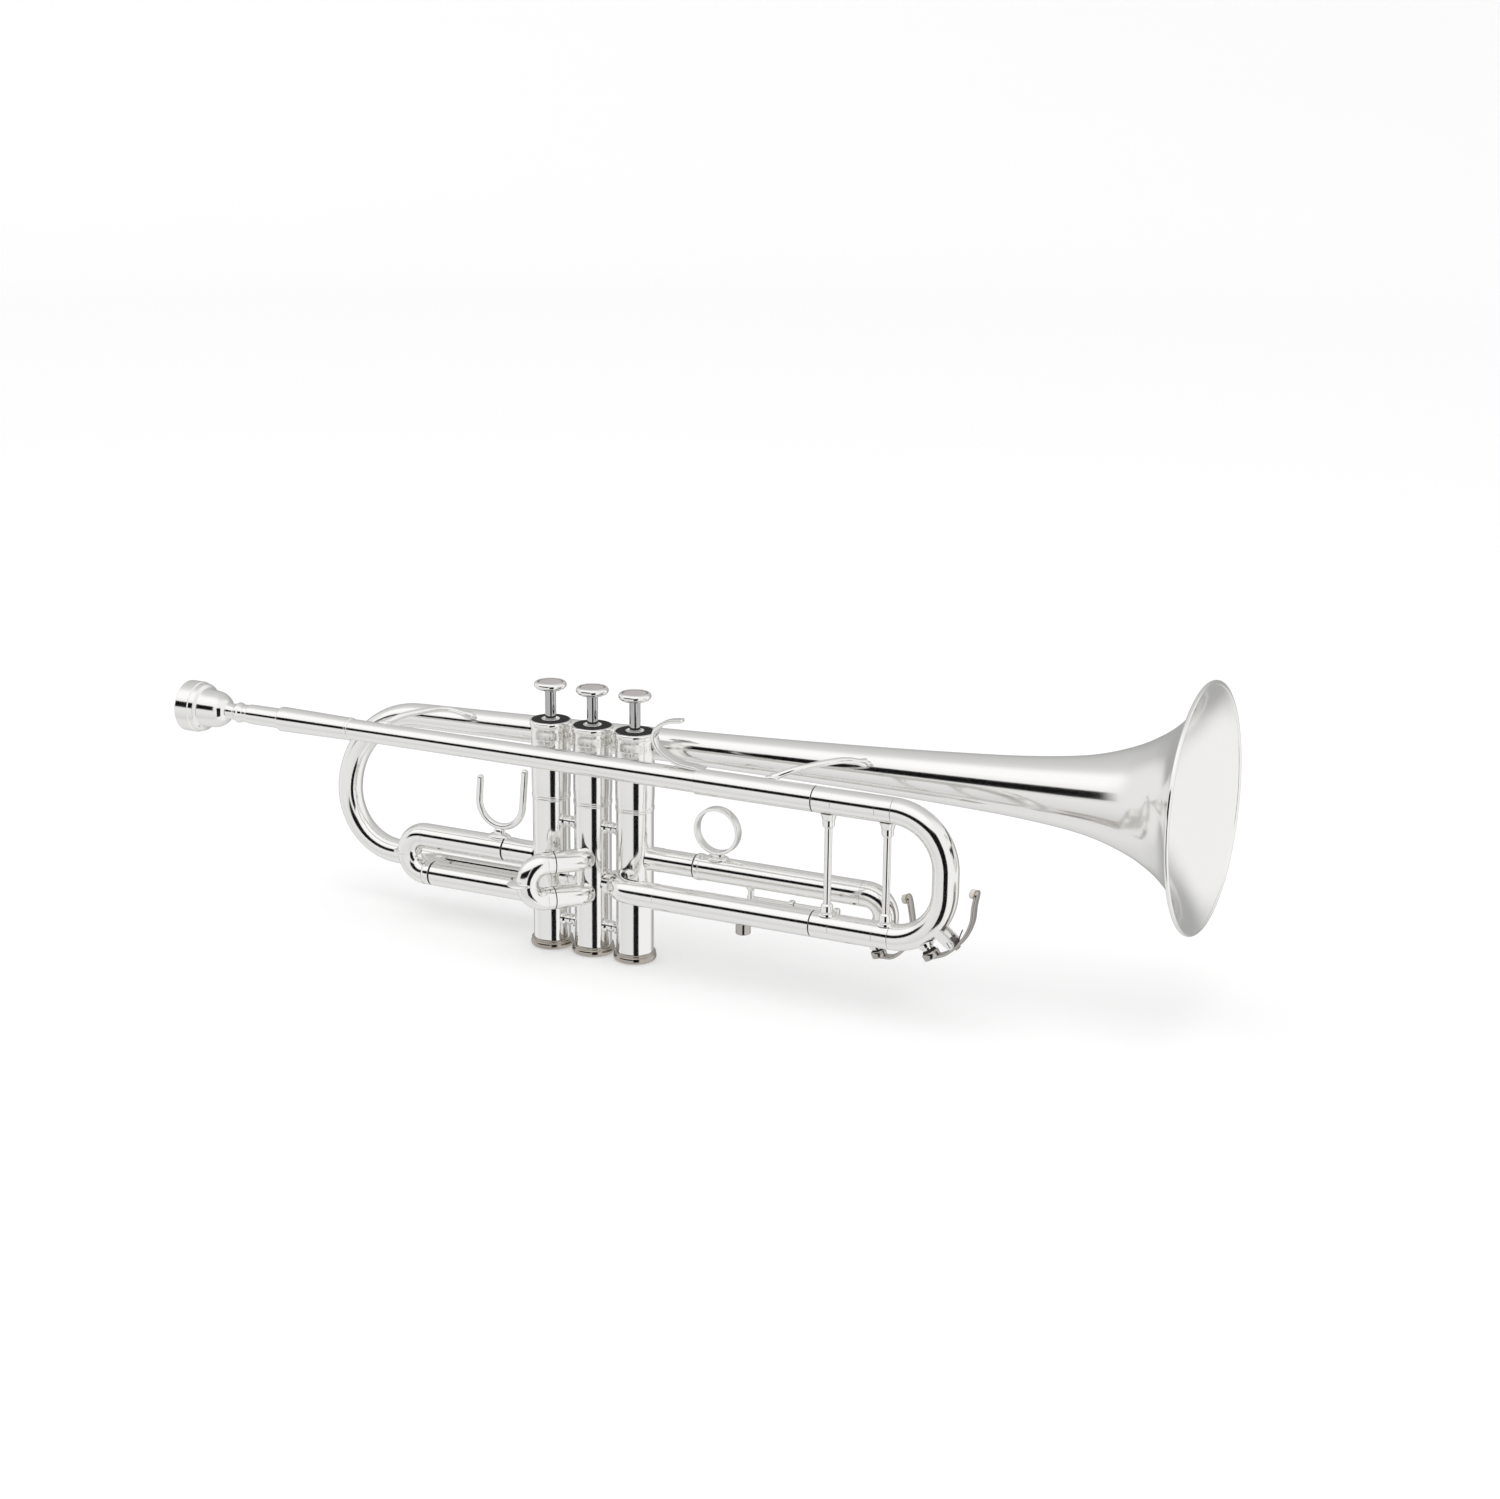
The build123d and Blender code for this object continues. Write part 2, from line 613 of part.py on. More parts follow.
with BuildPart() as main_braces:
    for brace_x in (145.2, 176.4):
        with Locations((brace_x, LEAD_Y, (LEAD_Z + LOWER_Z) / 2)):
            Cylinder(BRACE_SHAFT, SLIDE_SPACING - 6)
        turned_z(
            [
                (0, LEAD_Z - 6),
                (4.2, LEAD_Z - 6),
                (3.6, LEAD_Z - SLEEVE - 1.6),
                (3.1, LEAD_Z - SLEEVE - 2.8),
                (3.1, LEAD_Z - SLEEVE - 5.6),
                (2.5, LEAD_Z - SLEEVE - 6.4),
                (0, LEAD_Z - SLEEVE - 6.4),
            ],
            brace_x,
            LEAD_Y,
        )
        turned_z(
            [
                (0, LOWER_Z + 6),
                (4.4, LOWER_Z + 6),
                (4.2, LOWER_Z + SLEEVE + 1.0),
                (3.2, LOWER_Z + SLEEVE + 1.6),
                (3.0, LOWER_Z + SLEEVE + 4.6),
                (2.4, LOWER_Z + SLEEVE + 5.2),
                (0, LOWER_Z + SLEEVE + 5.2),
            ],
            brace_x,
            LEAD_Y,
        )
    for leg_z in (LEAD_Z, LOWER_Z):
        tube_x(130, 190, LEAD_Y, leg_z, SLEEVE, mode=Mode.SUBTRACT)
finish(main_braces.part, "main_slide_braces")

# ---- finger hook, on top of the leadpipe --------------------------------
HOOK_Y = LEAD_Y + 1.0
with BuildPart() as finger_hook:
    with BuildLine() as hook_path:
        Spline(
            (75.0, HOOK_Y, 54.8),
            (64.0, HOOK_Y, 54.9),
            (53.5, HOOK_Y, 58.2),
            (48.4, HOOK_Y, 65.8),
            (51.6, HOOK_Y, 72.6),
            (58.0, HOOK_Y, 76.2),
            (66.5, HOOK_Y, 77.6),
            tangents=((-1, 0, 0), (1, 0, 0.1)),
        )
    strip(hook_path.line, HOOK_STRIP, HOOK_THICKNESS)
    with Locations((69.5, LEAD_Y, LEAD_Z + 5.5)):
        Box(9, 5.5, 3.4)
    tube_x(50, 90, LEAD_Y, LEAD_Z, 6.05, mode=Mode.SUBTRACT)
    tube_x(UPPER_SLEEVE_X - 0.1, 90, LEAD_Y, LEAD_Z, SLEEVE, mode=Mode.SUBTRACT)
finish(finger_hook.part, "finger_hook")

# ---- bell, bow and their braces -----------------------------------------
lean_up = Vector(0, sin(radians(BELL_LEAN)), cos(radians(BELL_LEAN)))
bell_plane = Plane(origin=BOW_LEG, x_dir=(1, 0, 0), z_dir=Vector(1, 0, 0).cross(lean_up))
bow_turn = 90 - BELL_TILT
high_centre = (BOW_LEFT_X + BOW_HIGH_RADIUS, BOW_LOW_RADIUS)
tail_x = high_centre[0] + BOW_HIGH_RADIUS * cos(radians(90 + BELL_TILT))
tail_s = high_centre[1] + BOW_HIGH_RADIUS * sin(radians(90 + BELL_TILT))
bell_length = (BELL_RIM_X - tail_x) / cos(radians(BELL_TILT))
rim_s = tail_s + bell_length * sin(radians(BELL_TILT))
rim_centre = bell_plane.from_local_coords(Vector(BELL_RIM_X, rim_s, 0))
tail_centre = bell_plane.from_local_coords(Vector(tail_x, tail_s, 0))
bell_axis = (rim_centre - tail_centre).normalized()

# Outer radius of the bell at distances back from its rim
FLARE = (
    (0.0, 60.9),
    (3.0, 53.6),
    (7.0, 47.0),
    (13.0, 40.3),
    (22.0, 33.4),
    (36.0, 26.2),
    (58.0, 19.6),
    (90.0, 15.6),
    (130.0, 13.2),
    (180.0, 11.2),
    (250.0, 9.3),
    (340.0, 7.8),
    (bell_length, BOW_TUBE),
)


def inner_flare(points, wall):
    """Shift an outline inwards by the wall, square to the outline."""
    shifted = []
    for index, (along, radius) in enumerate(points):
        before = points[max(index - 1, 0)]
        after = points[min(index + 1, len(points) - 1)]
        run = after[0] - before[0]
        drop = after[1] - before[1]
        size = hypot(run, drop)
        shifted.append((along + wall * drop / size, radius - wall * run / size))
    shifted[0] = (0.0, points[0][1] - 1.1)
    shifted[-1] = (points[-1][0], points[-1][1] - wall)
    return shifted


bell_sketch_plane = Plane(origin=rim_centre, x_dir=-bell_axis, z_dir=bell_plane.z_dir)
bell_turn_axis = Axis(rim_centre, bell_axis)
with BuildPart() as bell:
    inner = inner_flare(FLARE, BELL_WALL)
    with BuildSketch(bell_sketch_plane):
        with BuildLine():
            Spline(*FLARE)
            Line(FLARE[-1], inner[-1])
            Spline(*reversed(inner))
            Line(inner[0], FLARE[0])
        make_face()
    revolve(axis=bell_turn_axis)
    with BuildSketch(bell_sketch_plane):
        with Locations((0.2, FLARE[0][1] - 0.4)):
            Circle(RIM_BEAD)
    revolve(axis=bell_turn_axis, mode=Mode.SUBTRACT)
finish(bell.part, "bell")

with BuildPart() as bell_rim:
    with BuildSketch(bell_sketch_plane):
        with Locations((0.2, FLARE[0][1] - 0.4)):
            Circle(RIM_BEAD)
    revolve(axis=bell_turn_axis)
finish(bell_rim.part, "bell_rim")

with BuildPart() as bow:
    with BuildLine(bell_plane) as bow_path:
        Line((-VALVE_PITCH - ENTRY_BEND, 0), (BOW_LEFT_X + BOW_LOW_RADIUS, 0))
        low_centre = (BOW_LEFT_X + BOW_LOW_RADIUS, BOW_LOW_RADIUS)
        CenterArc(low_centre, BOW_LOW_RADIUS, 270, -90)
        CenterArc(high_centre, BOW_HIGH_RADIUS, 180, -bow_turn)
    pipe(bow_path.line, BOW_TUBE, BOW_BORE)
    with BuildLine() as entry_path:
        entry_x = -VALVE_PITCH - ENTRY_BEND
        entry_in = ENTRY_BEND * (1 - cos(pi / 4))
        ThreePointArc(
            (entry_x, BOW_LEG.Y, BOW_LEG.Z),
            (-VALVE_PITCH - entry_in, BOW_LEG.Y - entry_in, BOW_LEG.Z),
            (-VALVE_PITCH, BOW_LEG.Y - ENTRY_BEND, BOW_LEG.Z),
        )
        end_y = BOW_LEG.Y - ENTRY_BEND
        Line((-VALVE_PITCH, end_y, BOW_LEG.Z), (-VALVE_PITCH, end_y - 2, BOW_LEG.Z))
    pipe(entry_path.line, BOW_TUBE, BOW_BORE)
    clear_casing(-VALVE_PITCH)
finish(bow.part, "bell_bow")


BRACE_ROD = 1.6
BRACE_FOOT = 2.2


def bell_surface_cut():
    """Remove what lies inside the outer surface of the bell or its sleeve."""
    with BuildSketch(bell_sketch_plane) as solid_bell:
        with BuildLine():
            Spline(*FLARE)
            Polyline(FLARE[-1], (bell_length, 0), (0, 0), FLARE[0])
        make_face()
    revolve(solid_bell.sketch, axis=bell_turn_axis, mode=Mode.SUBTRACT)


def body_brace(points, pipe_radius):
    """Bent rod from a foot on the leadpipe side to a foot on the bell."""
    foot_x = points[0][0]
    with BuildLine() as line:
        Spline(*points)
    pipe(line.line, BRACE_ROD)
    for foot in (points[0], points[-1]):
        with Locations(foot):
            Sphere(BRACE_FOOT)
    tube_x(foot_x - 30, foot_x + 30, LEAD_Y, LEAD_Z, pipe_radius, mode=Mode.SUBTRACT)
    bell_surface_cut()


FRONT_BRACE = ((113.0, -22.6, 54.4), (124.0, -15.0, 58.6), (139.0, 2.0, 60.4), (146.0, 15.8, 56.6))
REAR_BRACE = ((-112.0, -22.6, 53.2), (-104.0, -12.0, 56.4), (-93.0, 6.0, 56.2), (-86.0, 20.6, 50.0))
with BuildPart() as bell_braces:
    body_brace(FRONT_BRACE, SLEEVE)
    body_brace(REAR_BRACE, 5.75)
finish(bell_braces.part, "bell_braces")

# ---- first valve slide --------------------------------------------------
with BuildPart() as first_fixed_tube:
    tube_x(-VALVE_PITCH - TUBE_ROOT, FIRST_FERRULE_X, 0, FIRST_UPPER_Z, FIRST_STUB, BORE)
    tube_x(FIRST_FERRULE_X, FIRST_UPPER_JOINT_X + JOINT_HALF, 0, FIRST_UPPER_Z, SLEEVE, BORE)
    tube_x(FIRST_UPPER_JOINT_X + 6, -96.0, 0, FIRST_UPPER_Z, INNER_LEG, BORE)
    clear_casing(-VALVE_PITCH)
finish(first_fixed_tube.part, "first_slide_fixed_tube")

with BuildPart() as first_fixed_sleeve:
    tube_x(-VALVE_PITCH - TUBE_ROOT, FIRST_LOWER_JOINT_X, 0, FIRST_LOWER_Z, SLEEVE, SLEEVE_BORE)
    clear_casing(-VALVE_PITCH)
finish(first_fixed_sleeve.part, "first_slide_fixed_sleeve")

with BuildPart() as first_sleeve:
    tube_x(FIRST_UPPER_JOINT_X - JOINT_HALF, FIRST_CROOK_X, 0, FIRST_UPPER_Z, SLEEVE, SLEEVE_BORE)
finish(first_sleeve.part, "first_slide_sleeve")

with BuildPart() as first_inner_leg:
    tube_x(-46.0, FIRST_CROOK_X, 0, FIRST_LOWER_Z, INNER_LEG, BORE)
finish(first_inner_leg.part, "first_slide_inner_leg")

with BuildPart() as first_crook:
    first_bend = u_bend(FIRST_CROOK_X, 0, FIRST_UPPER_Z, FIRST_LOWER_Z, -1)
    crook_middle = (FIRST_UPPER_Z + FIRST_LOWER_Z) / 2
    pipe(first_bend, SLEEVE)
    turned_z(nub_outline(crook_middle), FIRST_NUB_X)
    bore_pipe(first_bend, BORE)
    tube_x(FIRST_CROOK_X, FIRST_LOWER_JOINT_X - 2 * JOINT_HALF, 0, FIRST_LOWER_Z, SLEEVE, INNER_LEG)
finish(first_crook.part, "first_slide_crook")

HOOK_FOOT = (-56.5, 0.0, -1.9)
HOOK_LEAN = 4.8
HOOK_RADIUS = 13.2
HOOK_WIRE = 1.8
HOOK_POST = 2.3
HOOK_LEFT = 24.2
HOOK_RIGHT = 32.8
hook_x = Vector(cos(radians(HOOK_LEAN)), 0, -sin(radians(HOOK_LEAN)))
hook_plane = Plane(origin=HOOK_FOOT, x_dir=hook_x, z_dir=(0, -1, 0))
with BuildPart() as thumb_hook:
    with BuildLine(hook_plane) as hook_line:
        Line((-HOOK_RADIUS, HOOK_LEFT), (-HOOK_RADIUS, HOOK_RADIUS))
        CenterArc((0, HOOK_RADIUS), HOOK_RADIUS, 180, 180)
        Line((HOOK_RADIUS, HOOK_RADIUS), (HOOK_RADIUS, HOOK_RIGHT))
    pipe(hook_line.line, HOOK_WIRE)
    for tip_u, tip_v in ((-HOOK_RADIUS, HOOK_LEFT), (HOOK_RADIUS, HOOK_RIGHT)):
        with Locations(hook_plane.from_local_coords(Vector(tip_u, tip_v, 0))):
            Sphere(HOOK_WIRE)
    with Locations((HOOK_FOOT[0], 0, (HOOK_FOOT[2] + FIRST_UPPER_Z + SLEEVE) / 2)):
        Cylinder(HOOK_POST, HOOK_FOOT[2] - FIRST_UPPER_Z - SLEEVE + 1)
    tube_x(HOOK_FOOT[0] - 5.5, HOOK_FOOT[0] + 5.5, 0, FIRST_UPPER_Z, SADDLE, SLEEVE)
    with Locations((HOOK_FOOT[0], 0, FIRST_UPPER_Z - 2.6)):
        Box(12, 20, 15, mode=Mode.SUBTRACT)
    tube_x(-70, -40, 0, FIRST_UPPER_Z, SLEEVE, mode=Mode.SUBTRACT)
finish(thumb_hook.part, "thumb_hook")

# ---- second valve slide -------------------------------------------------
second_way = Vector(-sin(radians(SECOND_ANGLE)), -cos(radians(SECOND_ANGLE)), 0)


def second_point(along, height):
    """Point on a second-slide leg, along it from its elbow."""
    spot = Vector(0, SECOND_ELBOW_Y, height) + second_way * along
    return (spot.X, spot.Y, spot.Z)


with BuildPart() as second_sleeves:
    for height in (SECOND_UPPER_Z, SECOND_LOWER_Z):
        rod((0, -SECOND_ROOT, height), (0, SECOND_ELBOW_Y, height), SECOND_STUB)
        with Locations((0, SECOND_ELBOW_Y, height)):
            Sphere(SECOND_TUBE)
        rod(second_point(0, height), second_point(SECOND_JOINT, height), SECOND_TUBE)
        inner_end = second_point(SECOND_JOINT + 1, height)
        rod(second_point(0, height), inner_end, SECOND_LEG + RUNNING_GAP, mode=Mode.SUBTRACT)
        rod((0, -SECOND_ROOT, height), (0, SECOND_ELBOW_Y, height), PORT_RADIUS, mode=Mode.SUBTRACT)
    clear_casing(0)
finish(second_sleeves.part, "second_slide_sleeves")

SECOND_RADIUS = (SECOND_UPPER_Z - SECOND_LOWER_Z) / 2
with BuildPart() as second_legs:
    for height in (SECOND_UPPER_Z, SECOND_LOWER_Z):
        rod(second_point(1.5, height), second_point(SECOND_FERRULE, height), SECOND_LEG)
        rod(second_point(SECOND_JOINT + JOINT_HALF, height), second_point(SECOND_FERRULE, height), SECOND_TUBE)
        rod(second_point(1.0, height), second_point(SECOND_FERRULE + 1, height), SECOND_BORE,
            mode=Mode.SUBTRACT)
finish(second_legs.part, "second_slide_legs")

with BuildPart() as second_crook:
    turn_start = SECOND_REACH - SECOND_RADIUS
    middle_z = (SECOND_UPPER_Z + SECOND_LOWER_Z) / 2
    with BuildLine() as second_path:
        Line(second_point(SECOND_FERRULE, SECOND_UPPER_Z), second_point(turn_start, SECOND_UPPER_Z))
        ThreePointArc(
            second_point(turn_start, SECOND_UPPER_Z),
            second_point(SECOND_REACH, middle_z),
            second_point(turn_start, SECOND_LOWER_Z),
        )
        Line(second_point(turn_start, SECOND_LOWER_Z), second_point(SECOND_FERRULE, SECOND_LOWER_Z))
    pipe(second_path.line, SECOND_TUBE)
    nub_centre = second_point(SECOND_REACH + 3.7, middle_z)
    turned_z(nub_outline(middle_z), nub_centre[0], nub_centre[1])
    bore_pipe(second_path.line, SECOND_BORE)
finish(second_crook.part, "second_slide_crook")

# ---- third valve slide --------------------------------------------------
with BuildPart() as third_fixed_tube:
    tube_x(VALVE_PITCH + TUBE_ROOT, 118.0, 0, THIRD_UPPER_Z, INNER_LEG, BORE)
    clear_casing(VALVE_PITCH)
finish(third_fixed_tube.part, "third_slide_fixed_tube")

with BuildPart() as third_fixed_sleeve:
    tube_x(VALVE_PITCH + TUBE_ROOT, THIRD_LOWER_JOINT_X, 0, THIRD_LOWER_Z, SLEEVE, SLEEVE_BORE)
    clear_casing(VALVE_PITCH)
finish(third_fixed_sleeve.part, "third_slide_fixed_sleeve")

with BuildPart() as third_sleeve:
    tube_x(THIRD_UPPER_JOINT_X + JOINT_HALF, THIRD_CROOK_X - 2, 0, THIRD_UPPER_Z, SLEEVE, SLEEVE_BORE)
    turned_x(
        [
            (THIRD_UPPER_JOINT_X + 0.4, SLEEVE_BORE),
            (THIRD_UPPER_JOINT_X + 0.4, 6.7),
            (THIRD_UPPER_JOINT_X + 0.9, 7.0),
            (THIRD_UPPER_JOINT_X + 2.4, 7.0),
            (THIRD_UPPER_JOINT_X + 2.9, SLEEVE),
            (THIRD_UPPER_JOINT_X + 2.9, SLEEVE_BORE),
        ],
        0,
        THIRD_UPPER_Z,
    )
finish(third_sleeve.part, "third_slide_sleeve")

with BuildPart() as third_inner_leg:
    tube_x(78.0, THIRD_CROOK_X, 0, THIRD_LOWER_Z, INNER_LEG, BORE)
finish(third_inner_leg.part, "third_slide_inner_leg")

THIRD_MIDDLE_Z = (THIRD_UPPER_Z + THIRD_LOWER_Z) / 2
THIRD_RADIUS = (THIRD_UPPER_Z - THIRD_LOWER_Z) / 2
THIRD_CENTRE = Vector(THIRD_CROOK_X, 0, THIRD_MIDDLE_Z)
THIRD_NIPPLE_ANGLE = -70.0
with BuildPart() as third_crook:
    tube_x(THIRD_CROOK_X - 2, THIRD_CROOK_X, 0, THIRD_UPPER_Z, SLEEVE, BORE)
    pipe(u_bend(THIRD_CROOK_X, 0, THIRD_UPPER_Z, THIRD_LOWER_Z, 1), SLEEVE, BORE)
    tube_x(THIRD_LOWER_JOINT_X + 2 * JOINT_HALF, THIRD_CROOK_X, 0, THIRD_LOWER_Z, SLEEVE, INNER_LEG)
finish(third_crook.part, "third_slide_crook")

with BuildPart() as third_nipple:
    rod(
        radial_point(THIRD_CENTRE, THIRD_NIPPLE_ANGLE, THIRD_RADIUS + 5.0),
        radial_point(THIRD_CENTRE, THIRD_NIPPLE_ANGLE, THIRD_RADIUS + 8.4),
        2.8,
    )
    for ear_y in (-3.6, 3.6):
        rod(
            radial_point(THIRD_CENTRE + Vector(0, ear_y, 0), -30.0, THIRD_RADIUS + 4.0),
            radial_point(THIRD_CENTRE + Vector(0, ear_y, 0), -30.0, THIRD_RADIUS + 11.4),
            1.2,
        )
    with Locations(Vector(*radial_point(THIRD_CENTRE, -30.0, THIRD_RADIUS + 11.4))):
        Cylinder(THIRD_EAR_END, THIRD_EAR_SPAN, rotation=(90, 0, 0))
        Cylinder(THIRD_EAR_GAP, THIRD_EAR_INSIDE, rotation=(90, 0, 0), mode=Mode.SUBTRACT)
        Cylinder(HINGE_PIN, THIRD_EAR_SPAN, rotation=(90, 0, 0))
    core_line = u_bend(THIRD_CROOK_X, 0, THIRD_UPPER_Z, THIRD_LOWER_Z, 1)
    core_section = ring(Plane(origin=core_line @ 0, z_dir=core_line % 0), SLEEVE)
    sweep(core_section, path=core_line, mode=Mode.SUBTRACT)
    rod(
        radial_point(THIRD_CENTRE, THIRD_NIPPLE_ANGLE, THIRD_RADIUS),
        radial_point(THIRD_CENTRE, THIRD_NIPPLE_ANGLE, THIRD_RADIUS + 12),
        1.7,
        mode=Mode.SUBTRACT,
    )
finish(third_nipple.part, "third_water_key_saddle")

RING_X = 72.3
RING_Z = 14.7
RING_OUTER = 12.5
RING_INNER = 10.8
RING_WIDTH = 5.0
with BuildPart() as finger_ring:
    with Locations((RING_X, 0, RING_Z)):
        Cylinder(RING_OUTER, RING_WIDTH, rotation=(90, 0, 0))
    with Locations((RING_X, 0, RING_Z - RING_OUTER - 0.6)):
        Box(9.0, 3.4, 3.4)
    tube_x(RING_X - 6.5, RING_X + 6.5, 0, THIRD_UPPER_Z, SADDLE, SLEEVE)
    with Locations((RING_X, 0, THIRD_UPPER_Z - 2.6)):
        Box(14, 20, 15, mode=Mode.SUBTRACT)
    with Locations((RING_X, 0, RING_Z)):
        Cylinder(RING_INNER, RING_WIDTH + 2, rotation=(90, 0, 0), mode=Mode.SUBTRACT)
    tube_x(RING_X - 9, RING_X + 9, 0, THIRD_UPPER_Z, SLEEVE, mode=Mode.SUBTRACT)
finish(finger_ring.part, "third_slide_ring")

POST_X = 91.5
LUG_X = 114.5
ROD_END_X = 140.5
STOP_Z = -18.2
STOP_ROD = 1.0
STOP_EYE = 1.5
STOP_DISC = 2.1
STOP_DISC_WIDTH = 2.4
SCREW_X = 87.3
SCREW_HEAD = 3.9
with BuildPart() as stop_rod:
    tube_x(POST_X - 2, ROD_END_X, 0, STOP_Z, STOP_ROD)
    with Locations((POST_X, 0, STOP_Z + 2.8)):
        Box(3.2, 3.0, 7.6)
    tube_x(POST_X - 4, POST_X + 4, 0, THIRD_UPPER_Z, SADDLE, SLEEVE)
    with Locations((POST_X, 0, THIRD_UPPER_Z + 2.6)):
        Box(9, 20, 15.4, mode=Mode.SUBTRACT)
    tube_x(ROD_END_X - STOP_DISC_WIDTH, ROD_END_X, 0, STOP_Z, STOP_DISC)
    tube_x(POST_X - 9, POST_X + 9, 0, THIRD_UPPER_Z, SLEEVE, mode=Mode.SUBTRACT)
finish(stop_rod.part, "third_slide_stop_rod")

with BuildPart() as stop_lug:
    with Locations((LUG_X, 0, THIRD_LOWER_Z + 8.0)):
        Box(2.4, 4.6, 5.8)
    tube_x(LUG_X - 4, LUG_X + 4, 0, STOP_Z, STOP_EYE, mode=Mode.SUBTRACT)
    turned_z(
        [(0, -31.0), (SCREW_HEAD, -31.0), (SCREW_HEAD, -37.9), (SCREW_HEAD - 0.5, -38.4), (0, -38.4)],
        SCREW_X,
    )
    tube_x(60, 130, 0, THIRD_LOWER_Z, SLEEVE, mode=Mode.SUBTRACT)
finish(stop_lug.part, "third_slide_stop_fittings")

# ---- water keys ---------------------------------------------------------
MAIN_HINGE = Vector(*radial_point(CORNER_CENTRE, -38.0, CORNER + 13.4))
with BuildPart() as main_cork:
    rod(
        radial_point(CORNER_CENTRE, NIPPLE_ANGLE, CORNER + 9.25),
        radial_point(CORNER_CENTRE, NIPPLE_ANGLE, CORNER + 12.0),
        3.6,
    )
finish(main_cork.part, "main_water_key_cork")

with BuildPart() as main_key:
    rod(
        radial_point(CORNER_CENTRE, NIPPLE_ANGLE, CORNER + 10.6),
        radial_point(CORNER_CENTRE, NIPPLE_ANGLE, CORNER + 14.2),
        4.4,
    )
    with BuildLine() as key_path:
        start = radial_point(CORNER_CENTRE, NIPPLE_ANGLE + 2, CORNER + 13.4)
        Spline(
            start,
            (209.6, LEAD_Y, -19.4),
            (217.2, LEAD_Y, -11.6),
            (221.4, LEAD_Y, -2.4),
            (222.4, LEAD_Y, 6.6),
            (224.0, LEAD_Y, 14.4),
        )
    strip(key_path.line, LEVER_WIDTH, LEVER_THICKNESS)
    with Locations(MAIN_HINGE):
        Cylinder(LEVER_BARREL, EAR_INSIDE - BARREL_PLAY, rotation=(90, 0, 0))
    rod((MAIN_HINGE.X, LEAD_Y, MAIN_HINGE.Z), (216.0, LEAD_Y, -13.6), LEVER_WEB)
    rod(
        radial_point(CORNER_CENTRE, NIPPLE_ANGLE, CORNER),
        radial_point(CORNER_CENTRE, NIPPLE_ANGLE, CORNER + 12.0),
        3.6,
        mode=Mode.SUBTRACT,
    )
    with Locations(MAIN_HINGE):
        Cylinder(HINGE_PIN + HINGE_GAP, EAR_INSIDE, rotation=(90, 0, 0), mode=Mode.SUBTRACT)
finish(main_key.part, "main_water_key")

THIRD_HINGE = Vector(*radial_point(THIRD_CENTRE, -30.0, THIRD_RADIUS + 11.4))
with BuildPart() as third_cork:
    rod(
        radial_point(THIRD_CENTRE, THIRD_NIPPLE_ANGLE, THIRD_RADIUS + 8.45),
        radial_point(THIRD_CENTRE, THIRD_NIPPLE_ANGLE, THIRD_RADIUS + 10.6),
        3.2,
    )
finish(third_cork.part, "third_water_key_cork")

with BuildPart() as third_key:
    rod(
        radial_point(THIRD_CENTRE, THIRD_NIPPLE_ANGLE, THIRD_RADIUS + 9.4),
        radial_point(THIRD_CENTRE, THIRD_NIPPLE_ANGLE, THIRD_RADIUS + 12.6),
        3.9,
    )
    with BuildLine() as third_key_path:
        Spline(
            radial_point(THIRD_CENTRE, THIRD_NIPPLE_ANGLE + 2, THIRD_RADIUS + 11.8),
            (171.5, 0, -36.2),
            (177.8, 0, -29.0),
            (180.4, 0, -18.4),
            (179.4, 0, -9.6),
            (177.8, 0, -2.4),
        )
    strip(third_key_path.line, THIRD_LEVER_WIDTH, THIRD_LEVER_THICKNESS)
    with Locations(THIRD_HINGE):
        Cylinder(THIRD_LEVER_BARREL, THIRD_EAR_INSIDE - BARREL_PLAY, rotation=(90, 0, 0))
    rod((THIRD_HINGE.X, 0, THIRD_HINGE.Z), (177.4, 0, -30.0), THIRD_LEVER_WEB)
    rod(
        radial_point(THIRD_CENTRE, THIRD_NIPPLE_ANGLE, THIRD_RADIUS),
        radial_point(THIRD_CENTRE, THIRD_NIPPLE_ANGLE, THIRD_RADIUS + 10.6),
        3.2,
        mode=Mode.SUBTRACT,
    )
    with Locations(THIRD_HINGE):
        Cylinder(HINGE_PIN + HINGE_GAP, THIRD_EAR_INSIDE, rotation=(90, 0, 0), mode=Mode.SUBTRACT)
finish(third_key.part, "third_water_key")
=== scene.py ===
"""Looks of a silver-plated piston trumpet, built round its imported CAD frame.

Each sub-assembly of the instrument is a class that holds its sizes in millimetres, builds its
pieces with bmesh operators and dresses them in a finish.  Places come from the CAD boxes.
"""

import logging
import math
from collections.abc import Callable, Sequence
from dataclasses import dataclass, field
from enum import Enum

import bmesh
import bpy
from mathutils import Matrix, Quaternion, Vector


